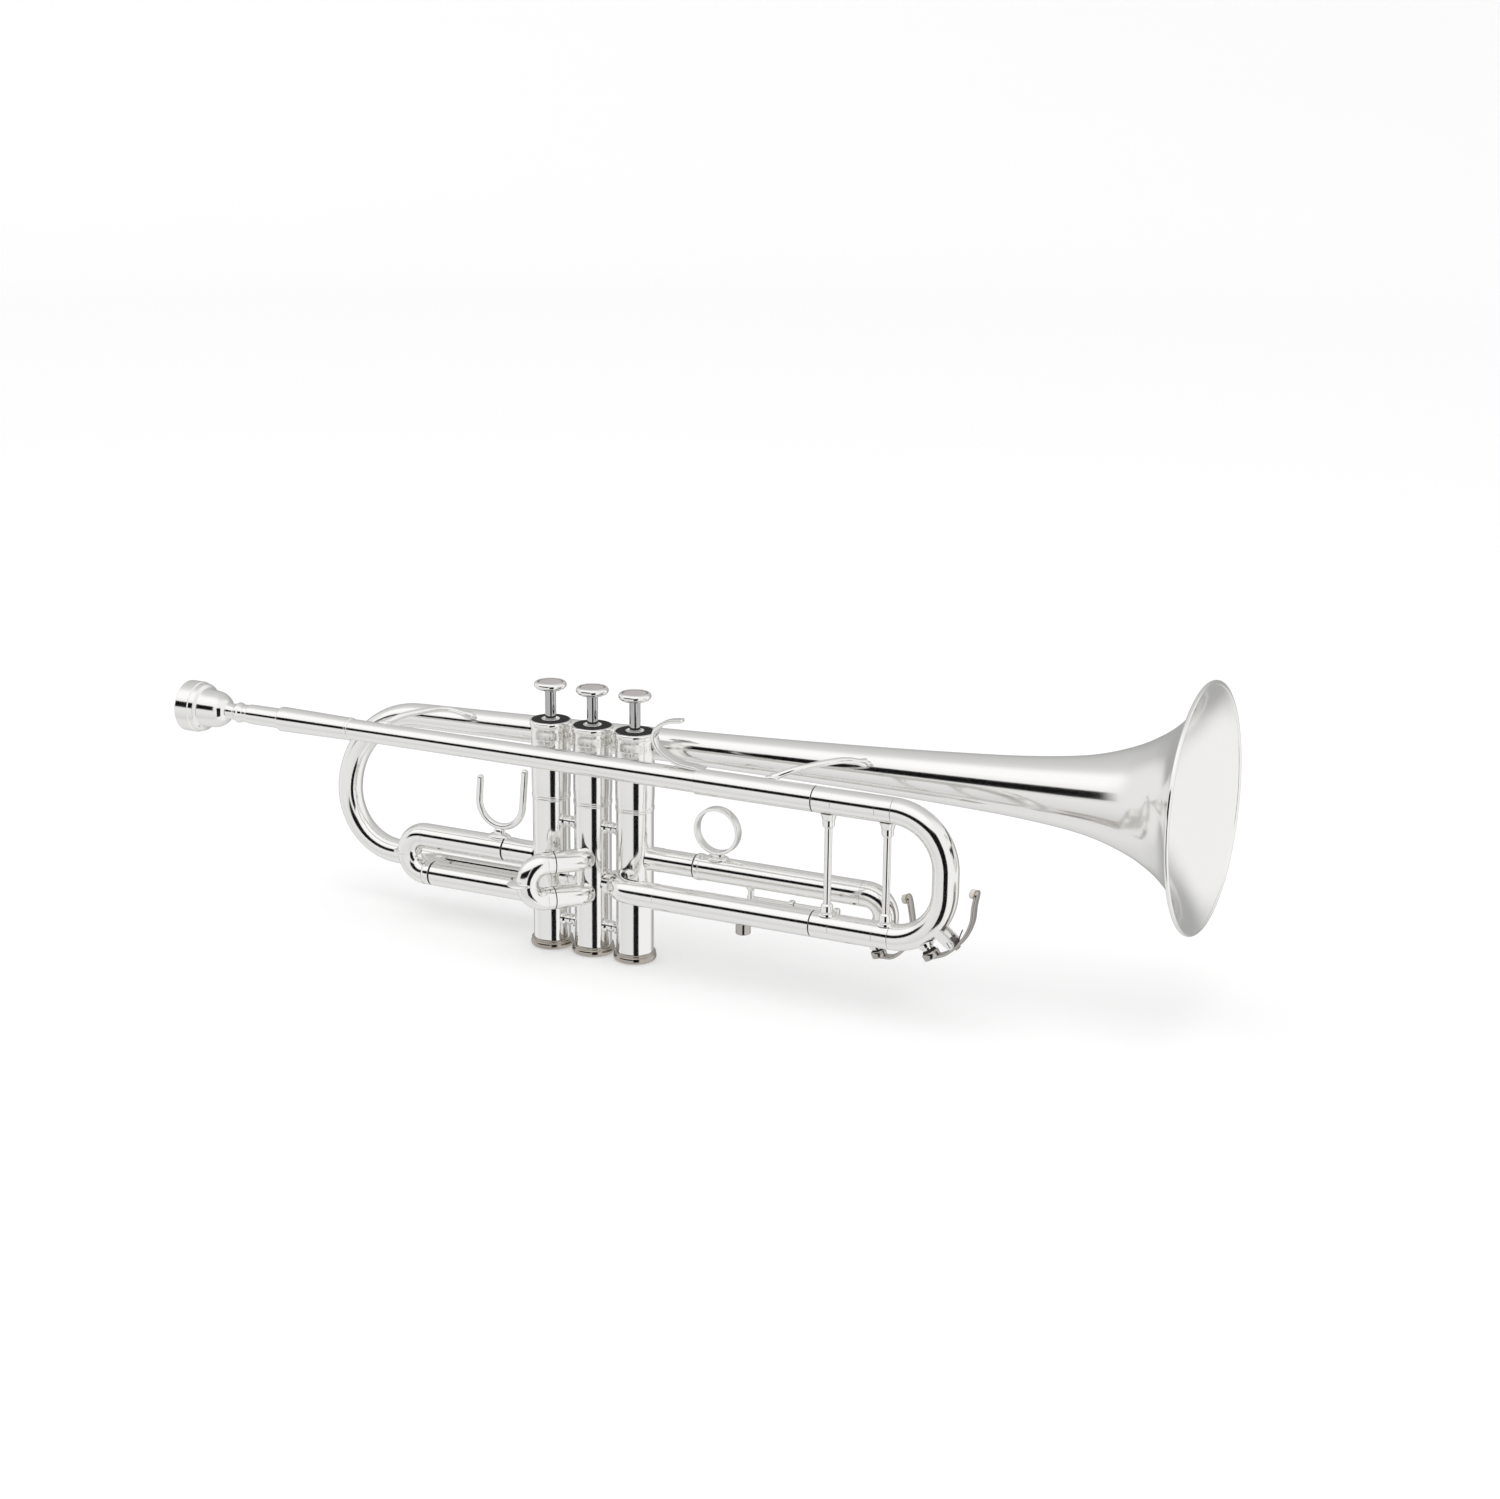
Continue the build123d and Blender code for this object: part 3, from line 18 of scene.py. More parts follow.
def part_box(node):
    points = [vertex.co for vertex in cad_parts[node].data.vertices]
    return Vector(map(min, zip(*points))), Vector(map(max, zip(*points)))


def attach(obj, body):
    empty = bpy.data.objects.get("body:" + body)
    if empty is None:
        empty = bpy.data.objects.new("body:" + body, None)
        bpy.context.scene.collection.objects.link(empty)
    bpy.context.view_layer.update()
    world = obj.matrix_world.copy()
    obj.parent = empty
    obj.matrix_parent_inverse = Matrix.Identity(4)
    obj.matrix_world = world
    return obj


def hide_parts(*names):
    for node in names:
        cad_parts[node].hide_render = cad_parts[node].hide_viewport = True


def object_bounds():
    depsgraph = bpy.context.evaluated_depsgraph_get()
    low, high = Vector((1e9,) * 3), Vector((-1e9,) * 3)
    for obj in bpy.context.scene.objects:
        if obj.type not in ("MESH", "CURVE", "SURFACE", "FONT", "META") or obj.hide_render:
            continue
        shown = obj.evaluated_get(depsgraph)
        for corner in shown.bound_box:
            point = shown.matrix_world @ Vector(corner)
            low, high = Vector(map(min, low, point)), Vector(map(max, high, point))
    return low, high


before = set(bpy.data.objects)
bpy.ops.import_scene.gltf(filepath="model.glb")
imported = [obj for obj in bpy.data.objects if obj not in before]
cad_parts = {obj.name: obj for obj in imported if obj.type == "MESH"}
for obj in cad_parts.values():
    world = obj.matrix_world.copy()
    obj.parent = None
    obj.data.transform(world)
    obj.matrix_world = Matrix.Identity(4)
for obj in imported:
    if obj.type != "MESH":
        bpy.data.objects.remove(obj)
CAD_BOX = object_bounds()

log = logging.getLogger("trumpet")

MM = 0.001
TURN_STEPS = 96
TUBE_SIDES = 64
BEND_STEP = math.radians(5)
SHARP = math.radians(32)
X, Y, Z = Vector((1, 0, 0)), Vector((0, 1, 0)), Vector((0, 0, 1))
VALVES = (1, 2, 3)

Colour = tuple[float, float, float]
Outline = Sequence[tuple[float, float]]
Input = "Value | float | Sequence[float]"


class Body(Enum):
    """Moving bodies of the instrument."""

    HORN = "horn"
    MOUTHPIECE = "mouthpiece"
    VALVE_1 = "valve_1"
    VALVE_2 = "valve_2"
    VALVE_3 = "valve_3"
    MAIN_SLIDE = "main_tuning_slide"
    MAIN_KEY = "main_key"
    FIRST_SLIDE = "first_valve_slide"
    SECOND_SLIDE = "second_valve_slide"
    THIRD_SLIDE = "third_valve_slide"
    THIRD_KEY = "third_key"


class Slot(Enum):
    """Material slots of the record."""

    PLATE = "silver_plate"
    CAP = "nickel_cap"
    KEY = "nickel_key"
    STEM = "steel_stem"
    PISTON = "monel_piston"
    SPRING = "spring_steel"
    FELT = "black_felt"
    PEARL = "pearl"
    CORK = "cork"
    NYLON = "guide_plastic"


# ---- shader arithmetic --------------------------------------------------
class Value:
    """A node's output that can stand in a Python expression."""

    def __init__(self, graph: "Graph", socket: bpy.types.NodeSocket) -> None:
        """Keep the socket and the graph that it belongs to."""
        self.graph = graph
        self.socket = socket

    def _math(self, operation: str, *terms: Input) -> "Value":
        """Add a Math node for one operation on the terms."""
        inputs = dict(enumerate(terms))
        return self.graph.node("ShaderNodeMath", {"operation": operation}, inputs)["Value"]

    def __add__(self, other: Input) -> "Value":
        """Sum."""
        return self._math("ADD", self, other)

    def __sub__(self, other: Input) -> "Value":
        """Difference."""
        return self._math("SUBTRACT", self, other)

    def __mul__(self, other: Input) -> "Value":
        """Product."""
        return self._math("MULTIPLY", self, other)

    def __truediv__(self, other: Input) -> "Value":
        """Quotient."""
        return self._math("DIVIDE", self, other)

    def __abs__(self) -> "Value":
        """Size without sign."""
        return self._math("ABSOLUTE", self)

    __radd__ = __add__
    __rmul__ = __mul__

    def angle_from(self, other: "Value") -> "Value":
        """Angle of the point whose height is this value and whose reach is the other."""
        return self._math("ARCTAN2", self, other)

    def least(self, other: Input) -> "Value":
        """Smaller of two values."""
        return self._math("MINIMUM", self, other)

    def fade(self, start: float, end: float, low: float = 0.0, high: float = 1.0) -> "Value":
        """Smooth step from low at start to high at end."""
        settings = {"interpolation_type": "SMOOTHSTEP"}
        limits = {"Value": self, "From Min": start, "From Max": end, "To Min": low, "To Max": high}
        return self.graph.node("ShaderNodeMapRange", settings, limits)["Result"]


class Made:
    """A new node, with its outputs by name."""

    def __init__(self, graph: "Graph", node: bpy.types.Node) -> None:
        """Keep the node and its graph."""
        self.graph = graph
        self.node = node

    def __getitem__(self, name: str | int) -> Value:
        """Output of this name that is switched on, or the output at this index."""
        outputs = self.node.outputs
        if isinstance(name, int):
            return Value(self.graph, outputs[name])
        return Value(self.graph, next(o for o in outputs if o.name == name and o.enabled))


class Graph:
    """Node tree of a material or of the world."""

    def __init__(self, owner: bpy.types.Material | bpy.types.World) -> None:
        """Switch the owner to nodes and clear them."""
        owner.use_nodes = True
        self.tree = owner.node_tree
        self.tree.nodes.clear()

    def node(self, kind: str, settings: dict | None = None, inputs: dict | None = None) -> Made:
        """Add a node.

        Args:
            kind: Blender's name for the node type.
            settings: Properties to set first; stops fills a colour ramp.
            inputs: Values or links by socket name or index.

        Returns:
            The node, ready to have its outputs read.
        """
        node = self.tree.nodes.new(kind)
        for name, value in (settings or {}).items():
            if name == "stops":
                self._ramp(node.color_ramp, value)
            else:
                setattr(node, name, value)
        for name, value in (inputs or {}).items():
            if isinstance(name, int):
                socket = node.inputs[name]
            else:
                socket = next(s for s in node.inputs if s.name == name and s.enabled)
            if isinstance(value, Value):
                self.tree.links.new(value.socket, socket)
            elif socket.type == "RGBA" and len(value) == 3:
                socket.default_value = (*value, 1.0)
            else:
                socket.default_value = value
        return Made(self, node)

    @staticmethod
    def _ramp(ramp: bpy.types.ColorRamp, stops: Sequence[tuple[float, float]]) -> None:
        """Fill a ramp with (place, grey level) stops."""
        while len(ramp.elements) < len(stops):
            ramp.elements.new(1.0)
        for element, (place, grey) in zip(ramp.elements, stops):
            element.position = place
            element.color = (grey, grey, grey, 1.0)

    def place(self, scale: Sequence[float] = (1.0, 1.0, 1.0)) -> Value:
        """Object coordinates, stretched by a scale for each axis."""
        raw = self.node("ShaderNodeTexCoord")["Object"]
        return self.node("ShaderNodeMapping", None, {"Vector": raw, "Scale": scale})["Vector"]

    def noise(self, where: Value, scale: float, detail: float = 3.0, rough: float = 0.5) -> Value:
        """Cloud noise at a number of cells per metre."""
        inputs = {"Vector": where, "Scale": scale, "Detail": detail, "Roughness": rough}
        return self.node("ShaderNodeTexNoise", None, inputs)[0]

    def mix(self, factor: Input, first: Input, second: Input) -> Value:
        """Blend of two colours."""
        inputs = {"Factor": factor, "A": first, "B": second}
        made = self.node("ShaderNodeMix", {"data_type": "RGBA"}, inputs)
        return made["Result"]

    def bump(self, height: Value, strength: float, depth: float) -> Value:
        """Surface normal from a height pattern."""
        inputs = {"Height": height, "Strength": strength, "Distance": depth}
        return self.node("ShaderNodeBump", None, inputs)["Normal"]


# ---- finishes -----------------------------------------------------------
@dataclass(frozen=True)
class Finish:
    """A finish: its name, the record's slot and its base colour."""

    name: str
    slot: Slot
    colour: Colour

    def dress(self, graph: Graph) -> dict:
        """Inputs of the surface shader."""
        raise NotImplementedError

    def material(self) -> bpy.types.Material:
        """Blender material of this finish, made once."""
        found = bpy.data.materials.get(self.name)
        if found:
            return found
        made = bpy.data.materials.new(self.name)
        graph = Graph(made)
        surface = graph.node("ShaderNodeBsdfPrincipled", None, self.dress(graph))
        graph.node("ShaderNodeOutputMaterial", None, {"Surface": surface["BSDF"]})
        return made


@dataclass(frozen=True)
class Polish(Finish):
    """Polished metal: faint toning, wiping haze and hairlines left by the cloth."""

    toned: Colour
    roughness: float
    haze: float
    toning: float = 0.5
    wave: float = 0.004

    def dress(self, graph: Graph) -> dict:
        """Inputs of the surface shader."""
        place = graph.place()
        cloud = graph.noise(place, 26.0, 4.0, 0.55).fade(0.42, 0.72)
        spots = graph.noise(place, 190.0, 2.0, 0.5).fade(0.55, 0.8)
        hair = graph.noise(graph.place((60.0, 1400.0, 1400.0)), 1.0, 2.0, 0.6)
        return {
            "Base Color": graph.mix(cloud * self.toning, self.colour, self.toned),
            "Metallic": 1.0,
            "Roughness": self.roughness + self.haze * (cloud * 0.6 + spots * 0.25 + hair * 0.35),
            "Normal": graph.bump(hair, self.wave, 0.00002),
        }


@dataclass(frozen=True)
class Felt(Finish):
    """Pressed wool felt: short matted fibres and a dusty sheen."""

    lint: Colour

    def dress(self, graph: Graph) -> dict:
        """Inputs of the surface shader."""
        place = graph.place()
        fibre = graph.noise(place, 2600.0, 6.0, 0.7)
        clump = graph.noise(place, 520.0, 3.0, 0.6)
        return {
            "Base Color": graph.mix(fibre.fade(0.5, 0.85), self.colour, self.lint),
            "Roughness": 0.9 + clump * 0.1,
            "Normal": graph.bump(fibre * 0.6 + clump * 0.4, 0.8, 0.0002),
            "Specular IOR Level": 0.12,
        }


@dataclass(frozen=True)
class Pearl(Finish):
    """Polished shell: drifting layers of pink, cream and green under a clear gloss."""

    blush: Colour
    shade: Colour

    def dress(self, graph: Graph) -> dict:
        """Inputs of the surface shader."""
        place = graph.place((1.0, 2.4, 1.0))
        layer = graph.noise(place, 210.0, 4.0, 0.6)
        swirl = graph.noise(place, 560.0, 5.0, 0.65)
        tint = graph.mix(layer.fade(0.35, 0.7), self.colour, self.blush)
        return {
            "Base Color": graph.mix(swirl.fade(0.5, 0.8) * 0.5, tint, self.shade),
            "Roughness": 0.16 + swirl * 0.12,
            "Coat Weight": 0.6,
            "Coat Roughness": 0.06,
            "Normal": graph.bump(layer, 0.06, 0.0001),
        }


@dataclass(frozen=True)
class Grained(Finish):
    """Cork, rubber or nylon: a matt body with grain and small pits."""

    fleck: Colour
    grain: float
    roughness: float

    def dress(self, graph: Graph) -> dict:
        """Inputs of the surface shader."""
        place = graph.place()
        grain = graph.noise(place, self.grain, 5.0, 0.6)
        pits = graph.noise(place, self.grain * 3.0, 2.0).fade(0.55, 0.75)
        return {
            "Base Color": graph.mix(grain.fade(0.4, 0.75), self.colour, self.fleck),
            "Roughness": self.roughness + grain * 0.15,
            "Normal": graph.bump(grain - pits * 0.5, 0.35, 0.0001),
        }


SILVER = Polish("silver_plate", Slot.PLATE, (0.965, 0.955, 0.94), (0.93, 0.90, 0.86), 0.008, 0.022)
NICKEL = Polish("nickel_caps", Slot.CAP, (0.47, 0.435, 0.39), (0.36, 0.32, 0.28), 0.10, 0.10)
KEY_NICKEL = Polish("nickel_keys", Slot.KEY, (0.52, 0.495, 0.47), (0.40, 0.37, 0.34), 0.14, 0.12)
STEEL = Polish("drawn_steel", Slot.STEM, (0.56, 0.56, 0.565), (0.44, 0.44, 0.45), 0.03, 0.04)
MONEL = Polish("honed_monel", Slot.PISTON, (0.70, 0.68, 0.65), (0.55, 0.53, 0.50), 0.2, 0.15)
WIRE = Polish("spring_wire", Slot.SPRING, (0.30, 0.28, 0.27), (0.20, 0.17, 0.15), 0.2, 0.2)
BLACK_FELT = Felt("black_felt", Slot.FELT, (0.006, 0.005, 0.005), (0.022, 0.018, 0.018))
SHELL = Pearl("shell_inlay", Slot.PEARL, (0.46, 0.43, 0.415), (0.50, 0.44, 0.42), (0.39, 0.385, 0.37))
CORK = Grained("black_cork", Slot.CORK, (0.018, 0.016, 0.014), (0.06, 0.05, 0.04), 1500.0, 0.75)
NYLON = Grained("white_nylon", Slot.NYLON, (0.80, 0.78, 0.74), (0.72, 0.68, 0.60), 800.0, 0.4)
# Near-black finish of the slide-gap rings: painted shade of the gaps, also dark grease.
GAP_SHADE_AND_GREASE = Grained("slide_gap_shade_and_grease", Slot.SPRING, (0.012, 0.009, 0.008), (0.03, 0.022, 0.018), 900.0, 0.5)
RESIN = Grained("inlay_resin", Slot.PEARL, (0.10, 0.055, 0.03), (0.16, 0.10, 0.06), 900.0, 0.4)
AGED = Grained("aged_glue", Slot.NYLON, (0.42, 0.32, 0.14), (0.30, 0.22, 0.10), 900.0, 0.5)


# ---- geometry helpers ---------------------------------------------------
@dataclass(frozen=True)
class Span:
    """Box of one CAD node, in millimetres."""

    low: Vector
    high: Vector

    @classmethod
    def of(cls, node: str) -> "Span":
        """Box of the CAD node of this name."""
        low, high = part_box(node)
        return cls(low / MM, high / MM)

    @property
    def middle(self) -> Vector:
        """Centre of the box."""
        return (self.low + self.high) / 2


@dataclass(frozen=True)
class Run:
    """Straight stretch of tube."""

    length: float


@dataclass(frozen=True)
class Bend:
    """Round bend of a tube towards a side."""

    towards: Vector
    radius: float
    angle: float = math.pi / 2


def eased(points: Sequence[Sequence[float]], steps: int = 6) -> list[Vector]:
    """Smooth curve through points.

    Args:
        points: Points that the curve passes, in two or three dimensions.
        steps: Spans between neighbouring points.

    Returns:
        Points along the curve.
    """
    held = [Vector(p) for p in points]
    held = [2 * held[0] - held[1], *held, 2 * held[-1] - held[-2]]
    curve = []
    for a, b, c, d in zip(held, held[1:], held[2:], held[3:]):
        for step in range(steps):
            t = step / steps
            bend = (2 * a - 5 * b + 4 * c - d) * t + (3 * b - a - 3 * c + d) * t * t
            curve.append(b + (c - a + bend) * (t / 2))
    curve.append(held[-2])
    return curve


def band(start: float, end: float, outer: float, inner: float = 0.0) -> Outline:
    """Outline of a plain tube, or of a rod, between two places."""
    return [(start, inner), (start, outer), (end, outer), (end, inner)]


def smooth(points: Outline, steps: int) -> list[tuple[float, ...]]:
    """Stretch of outline that runs smoothly through points."""
    return [tuple(p) for p in eased(points, steps)]


def arc(centre: Vector, start: Vector, axis: Vector, angle: float, steps: int = 24) -> list[Vector]:
    """Points on an arc from a start point about an axis through a centre."""
    arm = start - centre
    return [centre + Quaternion(axis, angle * k / steps) @ arm for k in range(steps + 1)]


def disc(radius: float, sides: int = 24, flat: float = 1.0) -> list[tuple[float, float]]:
    """Outline of a round section, squashed across by flat."""
    angles = [math.tau * k / sides for k in range(sides)]
    return [(radius * math.cos(a), radius * flat * math.sin(a)) for a in angles]


def bar(width: float, thickness: float, corner: float) -> list[tuple[float, float]]:
    """Outline of a flat section with rounded corners."""
    outline = []
    for quarter, (su, sv) in enumerate(((1, 1), (-1, 1), (-1, -1), (1, -1))):
        for k in range(5):
            a = math.pi / 2 * (quarter + k / 4)
            u = su * (width / 2 - corner) + corner * math.cos(a)
            v = sv * (thickness / 2 - corner) + corner * math.sin(a)
            outline.append((u, v))
    return outline


class Blank:
    """A piece in the making: a bmesh in millimetres that ends as one object on a body."""

    def __init__(self, name: str) -> None:
        """Start an empty mesh."""
        self.name = name
        self.mesh = bmesh.new()

    def _close(self, before: set, soften: float) -> None:
        """Merge doubles of the newest shape, turn its faces out and soften its sharp edges."""
        fresh = [v for v in self.mesh.verts if v not in before]
        bmesh.ops.remove_doubles(self.mesh, verts=fresh, dist=0.0005)
        fresh = {v for v in self.mesh.verts if v not in before}
        faces = [f for f in self.mesh.faces if f.verts[0] in fresh]
        bmesh.ops.recalc_face_normals(self.mesh, faces=faces)
        if soften > 0:
            edges = {e for f in faces for e in f.edges if e.is_manifold}
            sharp = [e for e in edges if e.calc_face_angle(0.0) > SHARP]
            bmesh.ops.bevel(
                self.mesh, geom=sharp, offset=soften, offset_type="OFFSET", segments=2,
                profile=0.5, affect="EDGES", clamp_overlap=True, material=-1,
            )

    def turn(
        self, outline: Outline, at: Vector, along: Vector, soften: float = 0.0, steps: int = TURN_STEPS
    ) -> "Blank":
        """Spin an outline about an axis.

        Args:
            outline: (distance along the axis, radius) points.
            at: Point of the axis that distances start from.
            along: Direction of the axis.
            soften: Width of the bevel on sharp edges.
            steps: Faces round the piece.

        Returns:
            The blank.
        """
        before = set(self.mesh.verts)
        side = along.orthogonal().normalized()
        loop = [self.mesh.verts.new(at + along * p[0] + side * p[1]) for p in outline]
        pairs = list(zip(loop, loop[1:]))
        if max(outline[0][1], outline[-1][1]) > 0:
            pairs.append((loop[-1], loop[0]))
        edges = [self.mesh.edges.new(pair) for pair in pairs]
        bmesh.ops.spin(
            self.mesh, geom=loop + edges, cent=at, axis=along, angle=math.tau, steps=steps,
            use_merge=True,
        )
        self._close(before, soften)
        return self

    def _extrude(self, edges: list) -> tuple[list, list]:
        """Extrude a loop of edges in place.

        Args:
            edges: Edges of the loop.

        Returns:
            Edges and vertices of the new loop.
        """
        made = bmesh.ops.extrude_edge_only(self.mesh, edges=edges)["geom"]
        verts = [g for g in made if isinstance(g, bmesh.types.BMVert)]
        fresh = set(verts)
        loop = [g for g in made if isinstance(g, bmesh.types.BMEdge) and set(g.verts) <= fresh]
        return loop, verts

    def _shell(self, start: Vector, heading: Vector, moves: Sequence, radius: float) -> tuple:
        """Draw one open tube wall and give the edges of its two ends."""
        turned = Matrix.Translation(start) @ heading.to_track_quat("Z", "Y").to_matrix().to_4x4()
        ring = bmesh.ops.create_circle(
            self.mesh, cap_ends=False, segments=TUBE_SIDES, radius=radius, matrix=turned
        )
        first = last = list({e for v in ring["verts"] for e in v.link_edges})
        at = start.copy()
        for move in moves:
            if isinstance(move, Run):
                last, verts = self._extrude(last)
                bmesh.ops.translate(self.mesh, vec=heading * move.length, verts=verts)
                at = at + heading * move.length
            else:
                centre = at + move.towards * move.radius
                axis = heading.cross(move.towards).normalized()
                geom = last + list({v for e in last for v in e.verts})
                made = bmesh.ops.spin(
                    self.mesh, geom=geom, cent=centre, axis=axis, angle=move.angle,
                    steps=max(4, round(move.angle / BEND_STEP)),
                )["geom_last"]
                last = [g for g in made if isinstance(g, bmesh.types.BMEdge)]
                spin = Quaternion(axis, move.angle)
                at = centre + spin @ (at - centre)
                heading = spin @ heading
        return first, last

    def pipe(
        self, start: Vector, heading: Vector, moves: Sequence, outer: float, inner: float = 0.0
    ) -> "Blank":
        """Lay a tube or a rod along straight runs and bends.

        Args:
            start: Centre of its first end.
            heading: Direction in which it leaves.
            moves: Runs and bends, in order.
            outer: Outside radius.
            inner: Bore radius, or 0 for a solid rod.

        Returns:
            The blank.
        """
        before = set(self.mesh.verts)
        first, last = self._shell(start, heading, moves, outer)
        if inner > 0:
            bore_first, bore_last = self._shell(start, heading, moves, inner)
            bmesh.ops.bridge_loops(self.mesh, edges=first + bore_first)
            bmesh.ops.bridge_loops(self.mesh, edges=last + bore_last)
        else:
            bmesh.ops.contextual_create(self.mesh, geom=first)
            bmesh.ops.contextual_create(self.mesh, geom=last)
        self._close(before, 0.0)
        return self

    def sweep(
        self,
        section: Outline,
        path: Sequence[Vector],
        across: Vector,
        size: Callable[[float], tuple[float, float]] = lambda t: (1.0, 1.0),
    ) -> "Blank":
        """Carry a section along a path.

        Args:
            section: Outline of the section, across and through.
            path: Points of the path.
            across: Direction that the section's width keeps to.
            size: Width and thickness factors at a place from 0 to 1 along the path.

        Returns:
            The blank.
        """
        before = set(self.mesh.verts)
        frames = []
        for index, point in enumerate(path):
            ahead = path[min(index + 1, len(path) - 1)] - path[max(index - 1, 0)]
            ahead.normalize()
            through = ahead.cross(across).normalized()
            wide, thick = size(index / (len(path) - 1))
            columns = Matrix((through.cross(ahead) * wide, through * thick, ahead)).transposed()
            frames.append(Matrix.Translation(point) @ columns.to_4x4())
        loop = [self.mesh.verts.new(frames[0] @ Vector((u, v, 0))) for u, v in section]
        last = [self.mesh.edges.new(pair) for pair in zip(loop, loop[1:] + loop[:1])]
        bmesh.ops.contextual_create(self.mesh, geom=last)
        for here, there in zip(frames, frames[1:]):
            last, verts = self._extrude(last)
            bmesh.ops.transform(self.mesh, matrix=there @ here.inverted(), verts=verts)
        bmesh.ops.contextual_create(self.mesh, geom=last)
        self._close(before, 0.0)
        return self

    def ball(self, at: Vector, radius: float, stretch: Vector = Vector((1, 1, 1))) -> "Blank":
        """Add a ball, stretched along the frame's axes."""
        matrix = Matrix.Translation(at) @ Matrix.Diagonal(stretch.to_4d())
        bmesh.ops.create_uvsphere(self.mesh, u_segments=40, v_segments=24, radius=radius, matrix=matrix)
        return self

    def slot(self, at: Vector, out: Vector, line: Vector, radius: float) -> "Blank":
        """Add a screw head with a slot: two half discs with a gap between them."""
        across = out.cross(line).normalized()
        for side in (-1, 1):
            before = set(self.mesh.verts)
            outline = [(math.cos(math.pi * k / 16), math.sin(math.pi * k / 16)) for k in range(17)]
            gap = across * side * 0.28
            loop = [
                self.mesh.verts.new(at + gap + line * radius * u + across * side * (radius - 0.28) * v)
                for u, v in outline
            ]
            face = self.mesh.faces.new(loop)
            made = bmesh.ops.extrude_face_region(self.mesh, geom=[face])["geom"]
            verts = [g for g in made if isinstance(g, bmesh.types.BMVert)]
            bmesh.ops.translate(self.mesh, vec=out * 0.55, verts=verts)
            self._close(before, 0.12)
        return self

    def finish(self, body: Body, coat: Finish, *replaced: str, even: bool = True) -> bpy.types.Object:
        """Make the object, dress it and set it on its body.

        Args:
            body: Body that the piece rides on.
            coat: Finish of the whole piece.
            replaced: CAD nodes that it stands for.
            even: Whether flat stretches keep their shading up to their bevels.

        Returns:
            The finished object.
        """
        bmesh.ops.transform(self.mesh, matrix=Matrix.Scale(MM, 4), verts=self.mesh.verts)
        for face in self.mesh.faces:
            face.smooth = True
        for edge in self.mesh.edges:
            edge.smooth = not edge.is_manifold or edge.calc_face_angle(0.0) < SHARP * 1.6
        data = bpy.data.meshes.new(self.name)
        self.mesh.to_mesh(data)
        self.mesh.free()
        data.materials.append(coat.material())
        piece = bpy.data.objects.new(self.name, data)
        bpy.context.scene.collection.objects.link(piece)
        if even:
            shading = piece.modifiers.new("even_shading", "WEIGHTED_NORMAL")
            shading.keep_sharp = True
        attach(piece, body.value)
        if replaced:
            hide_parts(*replaced)
        log.info("%s: %d faces in %s", self.name, len(data.polygons), coat.name)
        return piece


def coat_nodes(coat: Finish, *nodes: str) -> None:
    """Dress CAD nodes that stay as they are."""
    for node in nodes:
        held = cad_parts[node].data.materials
        held.clear()
        held.append(coat.material())
        log.info("%s keeps its CAD shape in %s", node, coat.name)


@dataclass(frozen=True)
class Tubing:
    """Radii of the telescoping tubes."""

    bore: float = 5.85
    leg: float = 6.15
    sleeve: float = 6.57
    sleeve_bore: float = 6.20
    groove: float = 0.16
    line: float = 0.14

    def sleeve_outline(self, length: float, bore: float, lines: Sequence[float] = ()) -> Outline:
        """Outline of a sleeve with softened mouths and a fine groove at each joint line."""
        outline = [(0.0, bore), (0.0, self.sleeve - 0.12), (0.12, self.sleeve)]
        for line in lines:
            outline.append((line - self.line, self.sleeve))
            outline.append((line, self.sleeve - self.groove))
            outline.append((line + self.line, self.sleeve))
        return outline + [(length - 0.12, self.sleeve), (length, self.sleeve - 0.12), (length, bore)]


TUBES = Tubing()
NUB_RADIUS = 7.19
NUB_HALF = [(1.4, 0.0), (1.35, 4.4), (1.05, 5.6), (0.55, 6.6)]
NUB = [*((-u, r) for u, r in NUB_HALF), (0.0, NUB_RADIUS), *reversed(NUB_HALF)]


JOINT_EDGE = 0.04


def joint_shadows() -> None:
    """Near-black rings where a slide meets its sleeve: painted shade of the gap, also dark grease on the
    inner tube.
    """
    blank = Blank("joint_gap_shade_and_grease")
    main = Span.of("main_slide_sleeves")
    first, third = Span.of("first_slide_fixed_sleeve"), Span.of("third_slide_fixed_sleeve")
    upper_first, upper_third = Span.of("first_slide_sleeve"), Span.of("third_slide_sleeve")
    places = [
        (main.high.x, 0.6, main.middle.y, main.high.z - TUBES.sleeve),
        (main.high.x, 0.6, main.middle.y, main.low.z + TUBES.sleeve),
        (first.low.x - 0.8, 1.0, 0.0, first.middle.z),
        (third.high.x - 0.2, 1.0, 0.0, third.middle.z),
        (upper_first.high.x, 1.0, 0.0, upper_first.middle.z),
        (upper_third.low.x - 0.8, 0.8, 0.0, upper_third.high.z - 7.0),
    ]
    for x, width, y, z in places:
        ring = band(JOINT_EDGE, width - JOINT_EDGE, 6.42, TUBES.sleeve_bore)
        blank.turn(ring, Vector((x, y, z)), X)
    second = SecondSlide()
    for height in second.heights:
        blank.turn(band(0.03, 0.42, 5.8, 5.56), second.at(height, second.joint), second.way)
    # The rings carry painted shade of the joint gaps as well as the colour of grease.
    blank.finish(Body.HORN, GAP_SHADE_AND_GREASE)


